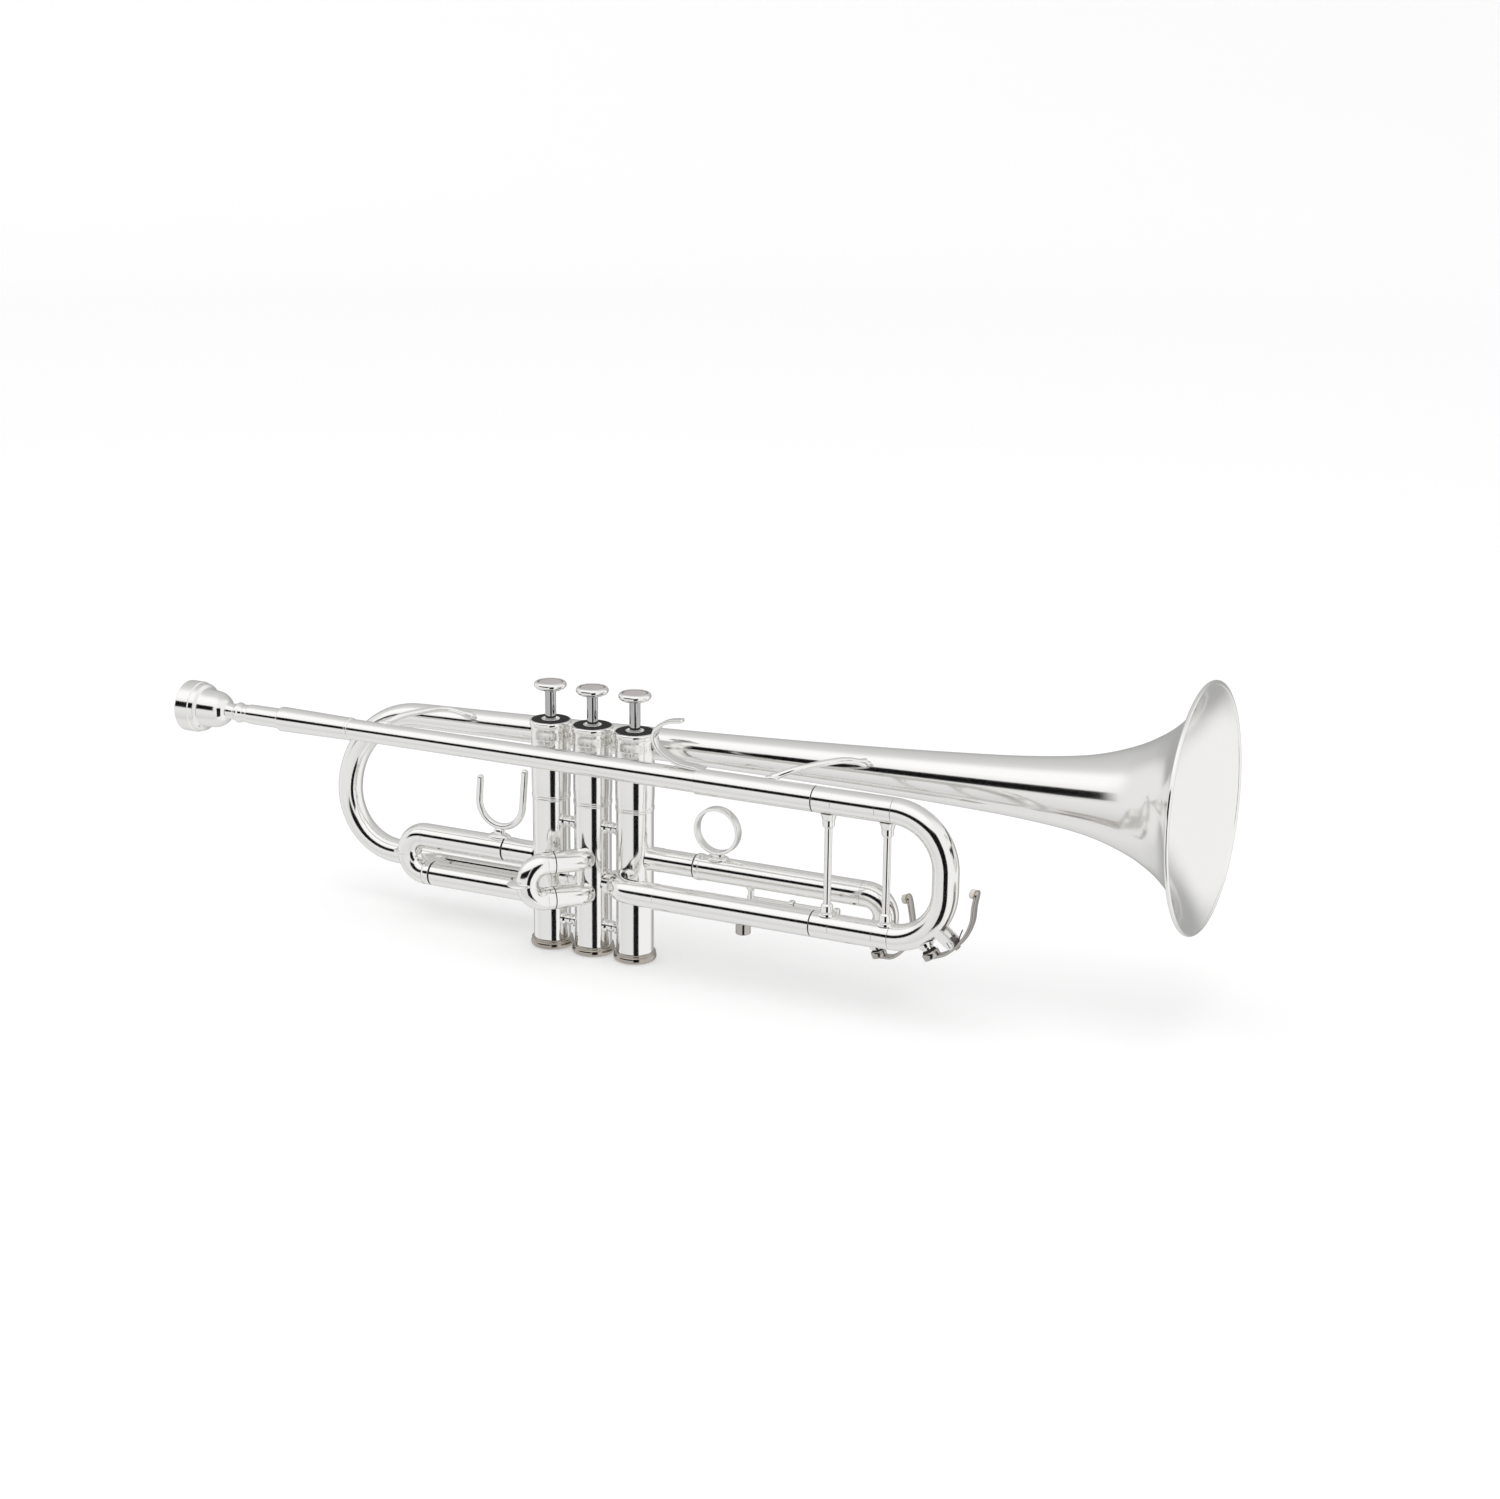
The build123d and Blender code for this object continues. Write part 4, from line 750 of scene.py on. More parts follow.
# ---- valves -------------------------------------------------------------
@dataclass
class ValveBlock:
    """Three casings with their caps, felts, braces and knuckles, all fixed to the horn."""

    bore: float = 8.5
    casing: float = 9.8
    thread: float = 9.3
    baluster: float = 10.2
    foot: float = 21.2
    cap_shoulder: float = 51.5
    low_shoulder: float = -57.6
    rim: float = 11.0
    felt_floor: float = 59.4
    felt_top: float = 61.4
    collar: float = 4.9
    felt: float = 9.95
    vent: float = 2.0
    stem_hole: float = 2.92
    brace_heights: tuple[float, float] = (8.0, -46.0)
    brace_y: float = -2.5
    knuckle_height: float = -23.0

    def axis_x(self, number: int) -> float:
        """Place of a valve's axis along the instrument."""
        return Span.of(f"valve_casing_{number}").middle.x

    def build(self) -> None:
        """Build every fixed piece of the valve block."""
        self.casings()
        self.top_caps()
        self.felts()
        self.bottom_caps()
        self.braces()
        self.knuckles()
        coat_nodes(NYLON, "valve_guides")

    def casings(self) -> None:
        """Casings with a double bead under each baluster."""
        body, foot, wide = self.casing, self.foot, self.baluster
        beads = smooth([
            (foot - 2.3, body + 0.02), (foot - 1.9, body + 0.26), (foot - 1.5, body + 0.34),
            (foot - 1.15, body + 0.2), (foot - 0.95, body + 0.2), (foot - 0.5, body + 0.42),
            (foot, body + 0.36), (foot + 0.35, body + 0.12), (foot + 1.6, body + 0.15),
            (foot + 4.0, wide - 0.1), (foot + 6.5, wide - 0.02), (foot + 9.0, wide),
        ], 4)
        for number in VALVES:
            span = Span.of(f"valve_casing_{number}")
            outline = [
                (span.low.z, self.bore), (span.low.z, self.thread), (self.low_shoulder, self.thread),
                (self.low_shoulder, body), (self.foot - 2.4, body), *beads,
                (self.cap_shoulder, self.baluster), (self.cap_shoulder, self.thread),
                (span.high.z, self.thread), (span.high.z, self.bore),
            ]
            blank = Blank(f"plated_casing_{number}")
            blank.turn(outline, Vector((self.axis_x(number), 0, 0)), Z)
            blank.finish(Body.HORN, SILVER, f"valve_casing_{number}")

    def top_caps(self) -> None:
        """Screw caps: a proud rim round the felt over a gently barrelled skirt."""
        blank = Blank("plated_top_caps")
        rim, low = self.rim, self.cap_shoulder
        skirt = smooth([(52.2, 10.38), (54.0, 10.28), (56.2, 10.22), (57.3, 10.38)], 5)
        corners = [(58.0, 10.62), (58.25, 10.85), (58.8, rim), (60.2, rim), (60.75, rim - 0.22)]
        shoulder = smooth(corners, 5)
        outline = [
            (low, self.thread), (low, 10.2), (low + 0.2, 10.4), *skirt,
            (57.55, 10.38), (57.7, 10.2), (57.85, 10.2), *shoulder,
            (61.05, rim - 0.6), (61.18, rim - 0.95), (61.1, self.felt), (self.felt_floor, self.felt),
            (self.felt_floor, self.collar), (61.45, self.collar), (61.58, 4.78), (61.58, 4.5),
            (61.45, 4.38), (60.95, 4.15), (60.75, 3.8), (60.75, 3.05), (60.6, self.stem_hole),
            (57.0, self.stem_hole), (57.0, self.thread),
        ]
        for number in VALVES:
            blank.turn(outline, Vector((self.axis_x(number), 0, 0)), Z)
        blank.finish(Body.HORN, SILVER, "top_valve_caps")

    def felts(self) -> None:
        """Felt discs in the caps and stop felts on the pistons' way up."""
        blank = Blank("felt_discs")
        edge = 0.35
        top, hole = self.felt_top, self.collar + 0.05
        outline = [
            (self.felt_floor, hole), (self.felt_floor, 9.9), (top - edge, 9.9),
            (top - 0.1, 9.8), (top, 9.5), (top, hole + edge), (top - 0.1, hole + 0.1),
            (top - edge, hole),
        ]
        inner = band(54.1, 57.0, 7.2, 4.0)
        for number in VALVES:
            at = Vector((self.axis_x(number), 0, 0))
            blank.turn(outline, at, Z).turn(inner, at, Z, steps=48)
        blank.finish(Body.HORN, BLACK_FELT, "valve_felts")

    def bottom_caps(self) -> None:
        """Bottom caps with a rolled rim and a shallow dished floor with a vent."""
        blank = Blank("nickel_bottom_caps")
        lip = smooth([(-57.7, 10.6), (-57.95, 10.93), (-58.45, 10.93), (-58.85, 10.78)], 4)
        roll = smooth([(-59.2, 11.1), (-60.1, 11.34), (-61.2, 11.24), (-62.0, 10.75), (-62.45, 9.9)], 5)
        outline = [
            (self.low_shoulder, self.thread), (self.low_shoulder, 10.4), *lip, *roll,
            (-62.5, 9.5), (-62.5, 7.6), (-61.9, 7.1), (-61.9, self.vent),
            (-60.0, self.vent), (-60.0, self.thread),
        ]
        for number in VALVES:
            blank.turn(outline, Vector((self.axis_x(number), 0, 0)), Z)
        blank.finish(Body.HORN, NICKEL, "bottom_valve_caps")

    def gaps(self) -> list[float]:
        """Places half way between neighbouring casings."""
        return [(self.axis_x(n) + self.axis_x(n + 1)) / 2 for n in (1, 2)]

    def braces(self) -> None:
        """Turned spools between the casings: a ringed barrel between two cupped feet."""
        blank = Blank("plated_casing_braces")
        half = [
            (-4.4, 3.6), (-3.4, 3.6), (-2.9, 3.4), (-2.4, 2.85), (-1.9, 2.6), (-1.5, 2.6), (-1.2, 2.72),
            (-0.9, 2.98), (-0.55, 3.08), (-0.3, 3.0), (0.0, 2.92),
        ]
        outline = [(-4.4, 0.0), *half, *[(-a, r) for a, r in reversed(half[:-1])], (4.4, 0.0)]
        for gap in self.gaps():
            for height in self.brace_heights:
                blank.turn(outline, Vector((gap, self.brace_y, height)), X, steps=48)
        reach = self.bore + 0.5
        for axis in [self.axis_x(number) for number in VALVES]:
            for vert in blank.mesh.verts:
                away = vert.co - Vector((axis, 0, vert.co.z))
                if away.length < reach:
                    vert.co += away.normalized() * (reach - away.length)
        blank.finish(Body.HORN, SILVER, "casing_braces")

    def knuckles(self) -> None:
        """Short tubes that carry the air between casings, with a raised ring."""
        blank = Blank("plated_knuckles")
        outline = [
            (-5.2, 5.2), (-5.2, 6.3), (-1.0, 6.3), (-0.7, 6.75), (-0.3, 6.9), (0.3, 6.9),
            (0.7, 6.75), (1.0, 6.3), (5.2, 6.3), (5.2, 5.2),
        ]
        for gap in self.gaps():
            blank.turn(outline, Vector((gap, 0, self.knuckle_height)), X)
        blank.finish(Body.HORN, SILVER, "crossover_knuckles")


@dataclass
class Piston:
    """One valve's moving pieces: stem, finger button and pearl show above the caps."""

    number: int
    stem: float = 2.85
    pearl: float = 6.6
    pearl_floor: float = 80.3

    def build(self) -> None:
        """Build the stem, the button and its inlay."""
        number = self.number
        body = Body(f"valve_{number}")
        span = Span.of(f"valve_stem_{number}")
        at = Vector((span.middle.x, 0, 0))
        coat_nodes(MONEL, f"piston_{number}")
        coat_nodes(WIRE, f"valve_spring_{number}")

        shaft = band(span.low.z, span.high.z, self.stem)
        Blank(f"steel_stem_{number}").turn(shaft, at, Z).finish(body, STEEL, f"valve_stem_{number}")

        crease = [(76.75, 4.6), (77.1, 5.6), (77.5, 6.9), (77.75, 7.35), (77.95, 7.3), (78.02, 7.12)]
        bulge = [(78.12, 7.3), (78.4, 7.9), (79.0, 8.38), (79.7, 8.46), (80.5, 8.25), (81.1, 7.8)]
        lip = [(81.4, 7.35), (81.48, 6.95), (81.4, 6.7)]
        outline = [
            (78.6, self.stem + 0.02), (76.6, self.stem + 0.02), (76.6, 4.3), *smooth(crease, 4),
            *smooth(bulge, 5), *smooth(lip, 4), (81.15, self.pearl),
            (self.pearl_floor, self.pearl), (self.pearl_floor, self.stem + 0.02),
        ]
        blank = Blank(f"plated_button_{number}").turn(outline, at, Z)
        blank.finish(body, SILVER, f"finger_button_{number}")

        line = [
            (self.pearl_floor, 6.12), (self.pearl_floor, 6.58), (81.22, 6.58), (81.28, 6.4), (81.2, 6.12)
        ]
        Blank(f"inlay_resin_{number}").turn(line, at, Z).finish(body, RESIN)
        inlay = [
            (self.pearl_floor, 0.0), (self.pearl_floor, 6.1), (81.12, 6.1), (81.2, 5.95), (81.24, 5.5),
            (81.28, 3.0), (81.3, 0.0),
        ]
        Blank(f"pearl_inlay_{number}").turn(inlay, at, Z).finish(body, SHELL, f"button_pearl_{number}")


# ---- mouthpiece and leadpipe --------------------------------------------
@dataclass
class Leadpipe:
    """Mouthpiece, receiver, leadpipe and the finger hook on top of it."""

    socket_gap: float = 0.04
    shank_mouth: float = 5.3
    shank_tip: float = 4.75
    pipe_start: float = 5.55
    pipe_end: float = 5.95
    overlap: float = 6.0

    def __post_init__(self) -> None:
        """Read the axis and the ends of the pieces."""
        self.receiver_span = Span.of("mouthpiece_receiver")
        middle = self.receiver_span.middle
        self.at = Vector((0, middle.y, middle.z))

    def build(self) -> None:
        """Build the whole leadpipe side."""
        self.mouthpiece()
        self.receiver()
        self.pipe()
        self.finger_hook()

    def mouthpiece(self) -> None:
        """Cup mouthpiece with a square-shouldered rim, a rounded cup, a bead and a tapered shank."""
        span = Span.of("mouthpiece")
        length = span.high.x - span.low.x
        socket = self.receiver_span.low.x - span.low.x
        rim = smooth([(1.0, 8.55), (0.25, 9.4), (0.0, 10.9), (0.22, 12.3), (0.9, 13.35)], 5)
        cup = [
            (12.9, 10.5), (15.5, 10.2), (18.4, 10.0), (21.4, 9.5), (24.0, 8.3), (26.0, 6.6), (27.2, 4.85)
        ]
        neck = smooth([(27.6, 4.5), (28.8, 4.3), (30.8, 4.32), (32.4, 4.62)], 4)
        bead = smooth([(33.1, 5.0), (33.9, 5.45), (34.6, 5.5), (35.5, 5.0)], 4)
        hollow = [(40.0, 2.4), (26.0, 1.83), (20.6, 1.9), (18.4, 3.1), (14.0, 6.0), (8.0, 7.7)]
        throat = smooth(hollow, 5)
        outline = [
            *rim, (1.25, 13.7), (1.6, 13.75), (8.5, 13.75), (8.85, 13.65), (9.0, 13.25), (9.2, 13.0),
            (9.6, 13.02), (11.7, 12.88), (12.1, 12.7), (12.4, 12.0), (12.6, 10.9),
            *smooth(cup, 6), *neck, *bead,
            (35.9, 4.72), (37.0, 4.64), (38.3, 4.66), (38.4, 4.74), (40.5, 4.76), (41.2, 5.16),
            (41.6, 5.2),
            (43.6, 5.22), (43.7, 5.28), (socket - 0.6, self.shank_mouth), (socket, self.shank_mouth),
            (length, self.shank_tip), (length, 4.3), *throat,
        ]
        blank = Blank("plated_mouthpiece")
        blank.turn(outline, self.at + X * span.low.x, X)
        blank.finish(Body.MOUTHPIECE, SILVER, "mouthpiece")

    def receiver(self) -> None:
        """Receiver sleeve with a rounded mouth and a ring at its far end."""
        span = self.receiver_span
        length = span.high.x - span.low.x
        tip = Span.of("mouthpiece").high.x - span.low.x
        gap = self.socket_gap
        outline = [
            (0.0, self.shank_mouth + gap), (0.0, 5.9), (0.25, 6.3), (0.8, 6.55), (1.6, 6.6), (4.0, 6.58),
            (length - 2.0, 5.98), (length - 1.75, 5.9), (length - 1.55, 6.05), (length - 1.2, 6.15),
            (length - 0.5, 6.15), (length - 0.15, 6.02), (length, 5.8), (length, 5.0),
            (tip + 1.5, 5.0), (tip + 1.5, self.shank_tip + gap), (tip, self.shank_tip + gap),
        ]
        blank = Blank("plated_receiver").turn(outline, self.at + X * span.low.x, X)
        blank.finish(Body.HORN, SILVER, "mouthpiece_receiver")

    def pipe(self) -> None:
        """Tapered leadpipe that ends inside the tuning slide's sleeve."""
        span = Span.of("leadpipe")
        start = self.receiver_span.high.x
        sleeve = span.high.x - self.overlap
        outline = [
            (span.low.x, 4.4), (span.low.x, 5.0), (start, 5.0), (start, self.pipe_start),
            (sleeve, self.pipe_end), (sleeve, TUBES.sleeve_bore), (span.high.x, TUBES.sleeve_bore),
            (span.high.x, 5.4),
        ]
        Blank("plated_leadpipe").turn(outline, self.at, X).finish(Body.HORN, SILVER, "leadpipe")

    def finger_hook(self) -> None:
        """Curved strip that rises from a spread foot on the pipe and narrows to a round tip."""
        span = Span.of("finger_hook")
        y = self.at.y + 1.0
        points = [
            (76.5, y, 54.35), (72.0, y, 54.75), (65.0, y, 55.3), (58.0, y, 57.6), (52.2, y, 61.4),
            (49.3, y, 66.2), (49.9, y, 70.9), (53.4, y, 74.6), (58.4, y, 76.7), (63.6, y, 77.5),
            (span.high.x - 10.2, y, 77.6),
        ]

        def size(t: float) -> tuple[float, float]:
            """Spread at the foot, narrow and rounded off at the tip."""
            spread = 1.0 - 0.38 * min(1.0, t / 0.85)
            tip = math.sqrt(max(0.02, 1 - max(0.0, (t - 0.94) / 0.062) ** 2))
            foot = 0.35 + 0.65 * min(1.0, t / 0.1)
            return spread * tip, foot * (0.6 + 0.4 * tip)

        blank = Blank("plated_finger_hook").sweep(bar(7.6, 1.9, 0.75), eased(points, 8), Y, size)
        blank.finish(Body.HORN, SILVER, "finger_hook", even=False)


# ---- main tuning slide --------------------------------------------------
@dataclass
class MainSlide:
    """Outer sleeves and elbow on the horn; legs, crook and braces on the slide."""

    upper_start: float = 73.5
    gap: float = 0.6
    ferrule_line: float = 148.2
    tube_line: float = 171.4
    elbow_bend: float = 12.0
    elbow_end: float = 41.5
    ferrule_end: float = 51.2
    elbow_tube: float = 6.3
    brace_places: tuple[float, float] = (145.2, 176.4)
    brace_rod: float = 1.9

    def __post_init__(self) -> None:
        """Read the legs' heights and the crook's corners."""
        span = Span.of("main_slide_crook")
        self.y = span.middle.y
        self.high = span.high.z - TUBES.sleeve
        self.low = span.low.z + TUBES.sleeve
        self.crook_start = span.low.x
        self.corner = span.high.x - TUBES.sleeve - span.low.x
        self.joint = Span.of("main_slide_sleeves").high.x

    def build(self) -> None:
        """Build the whole tuning slide."""
        self.sleeves()
        self.elbow()
        self.legs()
        self.crook()
        self.braces()

    def sleeves(self) -> None:
        """Outer sleeves."""
        blank = Blank("plated_slide_sleeves")
        low_start = Span.of("main_slide_sleeves").low.x
        for start, z in ((self.upper_start, self.high), (low_start, self.low)):
            outline = TUBES.sleeve_outline(self.joint - start, TUBES.sleeve_bore)
            blank.turn(outline, Vector((start, self.y, z)), X)
        blank.finish(Body.HORN, SILVER, "main_slide_sleeves")

    def elbow(self) -> None:
        """Elbow from the third valve with its ferrule and the tube into the lower sleeve."""
        valve_x = Span.of("valve_casing_3").middle.x
        sleeve_start = Span.of("main_slide_sleeves").low.x
        blank = Blank("plated_elbow")
        moves = [Run(-8.5 - self.y - self.elbow_bend), Bend(X, self.elbow_bend)]
        moves.append(Run(self.elbow_end - valve_x - self.elbow_bend + 0.2))
        blank.pipe(Vector((valve_x, -8.5, self.low)), -Y, moves, self.elbow_tube, 5.2)
        at = Vector((self.elbow_end, self.y, self.low))
        blank.turn(TUBES.sleeve_outline(self.ferrule_end - self.elbow_end, 5.2), at, X)
        rest = [(9.6, 5.85), (9.6, 6.4), (sleeve_start - self.elbow_end, 6.4)]
        rest += [(sleeve_start - self.elbow_end, 6.18), (sleeve_start - self.elbow_end + 6, 6.18)]
        blank.turn(rest + [(sleeve_start - self.elbow_end + 6, 5.85)], at, X)
        blank.finish(Body.HORN, SILVER, "third_valve_elbow")

    def legs(self) -> None:
        """Inner legs and the ferrules that they are soldered into."""
        blank = Blank("plated_slide_legs")
        start = self.joint + self.gap
        inside = Span.of("main_slide_legs").low.x
        lines = (self.ferrule_line - start, self.tube_line - start)
        for z in (self.high, self.low):
            outline = TUBES.sleeve_outline(self.crook_start - start, TUBES.bore, lines)
            blank.turn(outline, Vector((start, self.y, z)), X)
            leg = band(inside, start + 2, TUBES.leg, TUBES.bore)
            blank.turn(leg, Vector((0, self.y, z)), X)
        blank.finish(Body.MAIN_SLIDE, SILVER, "main_slide_legs")

    def crook(self) -> None:
        """Crook: two quarter bends joined by a short straight."""
        blank = Blank("plated_slide_crook")
        rise = self.high - self.low - 2 * self.corner
        moves = [Bend(-Z, self.corner), Run(rise), Bend(-X, self.corner)]
        start = Vector((self.crook_start + 0.25, self.y, self.high))
        blank.pipe(start, X, moves, TUBES.sleeve, TUBES.bore)
        blank.finish(Body.MAIN_SLIDE, SILVER, "main_slide_crook", even=False)

    def braces(self) -> None:
        """Two turned braces: long sockets at the top, flanged sockets at the foot."""
        top, foot = self.high - TUBES.sleeve, self.low + TUBES.sleeve
        upper = [
            (top - 7.0, 0.0), (top - 7.0, 2.3), (top - 6.4, 2.7), (top - 6.1, 3.05), (top - 3.2, 3.1),
            (top - 2.9, 2.95), (top - 2.7, 3.3), (top - 1.7, 3.5), (top + 0.6, 4.4), (top + 0.6, 0.0),
        ]
        lower = [
            (foot - 0.8, 0.0), (foot - 0.8, 4.6), (foot + 0.5, 4.4), (foot + 0.9, 3.9),
            (foot + 1.2, 3.2), (foot + 4.0, 3.05), (foot + 4.3, 2.9), (foot + 4.7, 2.5),
            (foot + 5.1, 2.3), (foot + 5.1, 0.0),
        ]
        shaft = band(foot, top, self.brace_rod)
        blank = Blank("plated_slide_braces")
        for place in self.brace_places:
            at = Vector((place, self.y, 0))
            blank.turn(upper, at, Z, 0.12).turn(lower, at, Z, 0.12).turn(shaft, at, Z)
        blank.finish(Body.MAIN_SLIDE, SILVER, "main_slide_braces")


# ---- water keys ---------------------------------------------------------
@dataclass
class WaterKey:
    """Water key on a crook: saddle, lever, cork, bumper, spring and screw."""

    label: str
    node: str
    slide: Body
    key: Body
    centre: Vector
    bend: float
    nipple_angle: float
    hinge_angle: float
    hinge_reach: float
    cork_start: float
    cork_end: float
    cork: float
    cup: float
    cup_top: float
    lever: list[tuple[float, float]]
    width: float
    ears: float
    nipple: float = 3.0

    def point(self, angle: float, reach: float, side: float = 0.0) -> Vector:
        """Point at an angle in degrees and a distance from the bend's centre."""
        turn = math.radians(angle)
        return self.centre + Vector((math.cos(turn) * reach, side, math.sin(turn) * reach))

    def out(self, angle: float) -> Vector:
        """Direction straight out of the bend at an angle in degrees."""
        return (self.point(angle, 1.0) - self.centre).normalized()

    def build(self) -> None:
        """Build every piece of the key."""
        self.saddle()
        self.arm()
        self.cork_pad()
        self.bumper()
        self.spring()

    def saddle(self) -> None:
        """Nipple, two rounded ear plates and the slotted hinge screw through them."""
        blank = Blank(f"plated_{self.label}_saddle")
        foot = self.bend + 5.6
        nipple = [
            (foot, 1.8), (foot, self.nipple + 0.9), (self.bend + 7.6, self.nipple + 0.7),
            (self.bend + 8.0, self.nipple), (self.cork_start - 0.3, self.nipple),
            (self.cork_start - 0.06, self.nipple - 0.3), (self.cork_start - 0.06, 1.8),
        ]
        blank.turn(nipple, self.centre, self.out(self.nipple_angle), steps=48)
        out = self.out(self.hinge_angle)
        hinge = self.bend + self.hinge_reach

        def rounded(t: float) -> tuple[float, float]:
            """Ear plate: full width at its foot and round at its end."""
            end = max(0.0, (t - 0.68) / 0.33)
            return math.sqrt(max(0.01, 1 - end * end)), 1.0

        for side in (-self.ears, self.ears):
            start = self.point(self.hinge_angle, self.bend + 4.6, side)
            end = self.point(self.hinge_angle, hinge + 2.3, side)
            path = [start.lerp(end, (k / 24) ** 0.7) for k in range(25)]
            blank.sweep(bar(5.0, 1.5, 0.35), path, out.cross(Y), rounded)
        at = self.point(self.hinge_angle, hinge)
        blank.turn(band(-self.ears, self.ears, 0.9), at, Y, steps=32)
        blank.slot(at - Y * (self.ears + 0.7), -Y, Vector((0.62, 0, -0.78)), 1.75)
        blank.finish(self.slide, SILVER, f"{self.node}_saddle")

    def arm(self) -> None:
        """Lever: a forged strip that runs from the cork cup past the hinge to the finger end."""
        blank = Blank(f"nickel_{self.label}_lever")
        start = self.point(self.nipple_angle + 2, self.cup_top + 1.6)
        route = [tuple(start), *[(x, self.centre.y, z) for x, z in self.lever]]

        def size(t: float) -> tuple[float, float]:
            """Waisted over the hinge and rounded at the finger end."""
            tip = math.sqrt(max(0.02, 1 - max(0.0, (t - 0.9) / 0.105) ** 2))
            waist = 0.92 + 0.13 * max(0.0, (t - 0.3) / 0.7)
            return waist * tip, 0.55 + 0.45 * tip

        blank.sweep(bar(self.width, 1.7, 0.6), eased(route, 8), Y, size)
        cup = [
            (self.cup_top, 0.0), (self.cup_top, self.cork), (self.cork_end - 1.6, self.cork),
            (self.cork_end - 1.6, self.cup - 0.25), (self.cork_end - 1.35, self.cup),
            (self.cork_end + 1.4, self.cup), (self.cork_end + 1.9, self.cup - 0.4),
            (self.cork_end + 2.1, self.cup - 1.2), (self.cork_end + 2.1, 0.0),
        ]
        blank.turn(cup, self.centre, self.out(self.nipple_angle), steps=64)
        at = self.point(self.hinge_angle, self.bend + self.hinge_reach)
        half = self.ears - 0.85
        blank.turn(band(-half, half, 1.95, 0.97), at, Y, 0.12, 40)
        outward = self.out(self.hinge_angle)
        strut = [at + outward * (0.6 + 0.45 * k) for k in range(9)]
        blank.sweep(bar(3.4, 2.2, 0.6), strut, Y)
        blank.finish(self.key, KEY_NICKEL, self.node, even=False)

    def cork_pad(self) -> None:
        """Cork in the cup that seals the nipple."""
        blank = Blank(f"cork_pad_{self.label}")
        radius = self.cork - 0.05
        outline = [
            (self.cork_start, 0.0), (self.cork_start, radius - 0.3), (self.cork_start + 0.3, radius),
            (self.cork_end, radius), (self.cork_end, 0.0),
        ]
        blank.turn(outline, self.centre, self.out(self.nipple_angle), steps=48)
        blank.finish(self.key, CORK, f"{self.node}_cork")

    def bumper(self) -> None:
        """Nylon bumper on the inner side of the finger end, on a bed of aged glue."""
        (x1, z1), (x2, z2) = self.lever[-2:]
        run = Vector((x2 - x1, 0, z2 - z1)).normalized()
        inward = run.cross(Y).normalized()
        inward *= -1 if inward.x > 0 else 1
        at = Vector((x2, self.centre.y, z2)) - run * 2.6 + inward * 0.5
        glue = [(0.0, 0.0), (0.0, 2.35), (0.8, 2.4), (0.8, 0.0)]
        Blank(f"glue_{self.label}").turn(glue, at, inward, 0.1, 40).finish(self.key, AGED)
        pad = [(0.7, 0.0), (0.7, 2.45), (2.3, 2.4), (2.9, 2.2), (3.2, 1.7), (3.3, 0.0)]
        Blank(f"bumper_{self.label}").turn(pad, at, inward, 0.15, 40).finish(self.key, NYLON)

    def spring(self) -> None:
        """Torsion spring round the hinge barrel, one leg on the lever and one on the crook."""
        at = self.point(self.hinge_angle, self.bend + self.hinge_reach)
        coils, steps, radius = 3, 72, 2.25
        reach = self.ears - 1.3
        turns = [
            at + Vector((
                radius * math.cos(math.tau * coils * k / steps),
                -reach + 2 * reach * k / steps,
                radius * math.sin(math.tau * coils * k / steps),
            ))
            for k in range(steps + 1)
        ]
        head, tail = turns[0], turns[-1]
        leg = eased([tail, tail + Vector((0.4, 0, 2.6)), tail + Vector((1.8, 0, 6.4))], 6)
        start = eased([head + Vector((-1.9, 0, 5.6)), head + Vector((-0.6, 0, 2.2)), head], 6)
        blank = Blank(f"spring_{self.label}")
        blank.sweep(disc(0.32, 10), start[:-1] + turns + leg[1:], Vector((0.13, 1, 0.17)))
        blank.finish(self.key, WIRE, even=False)


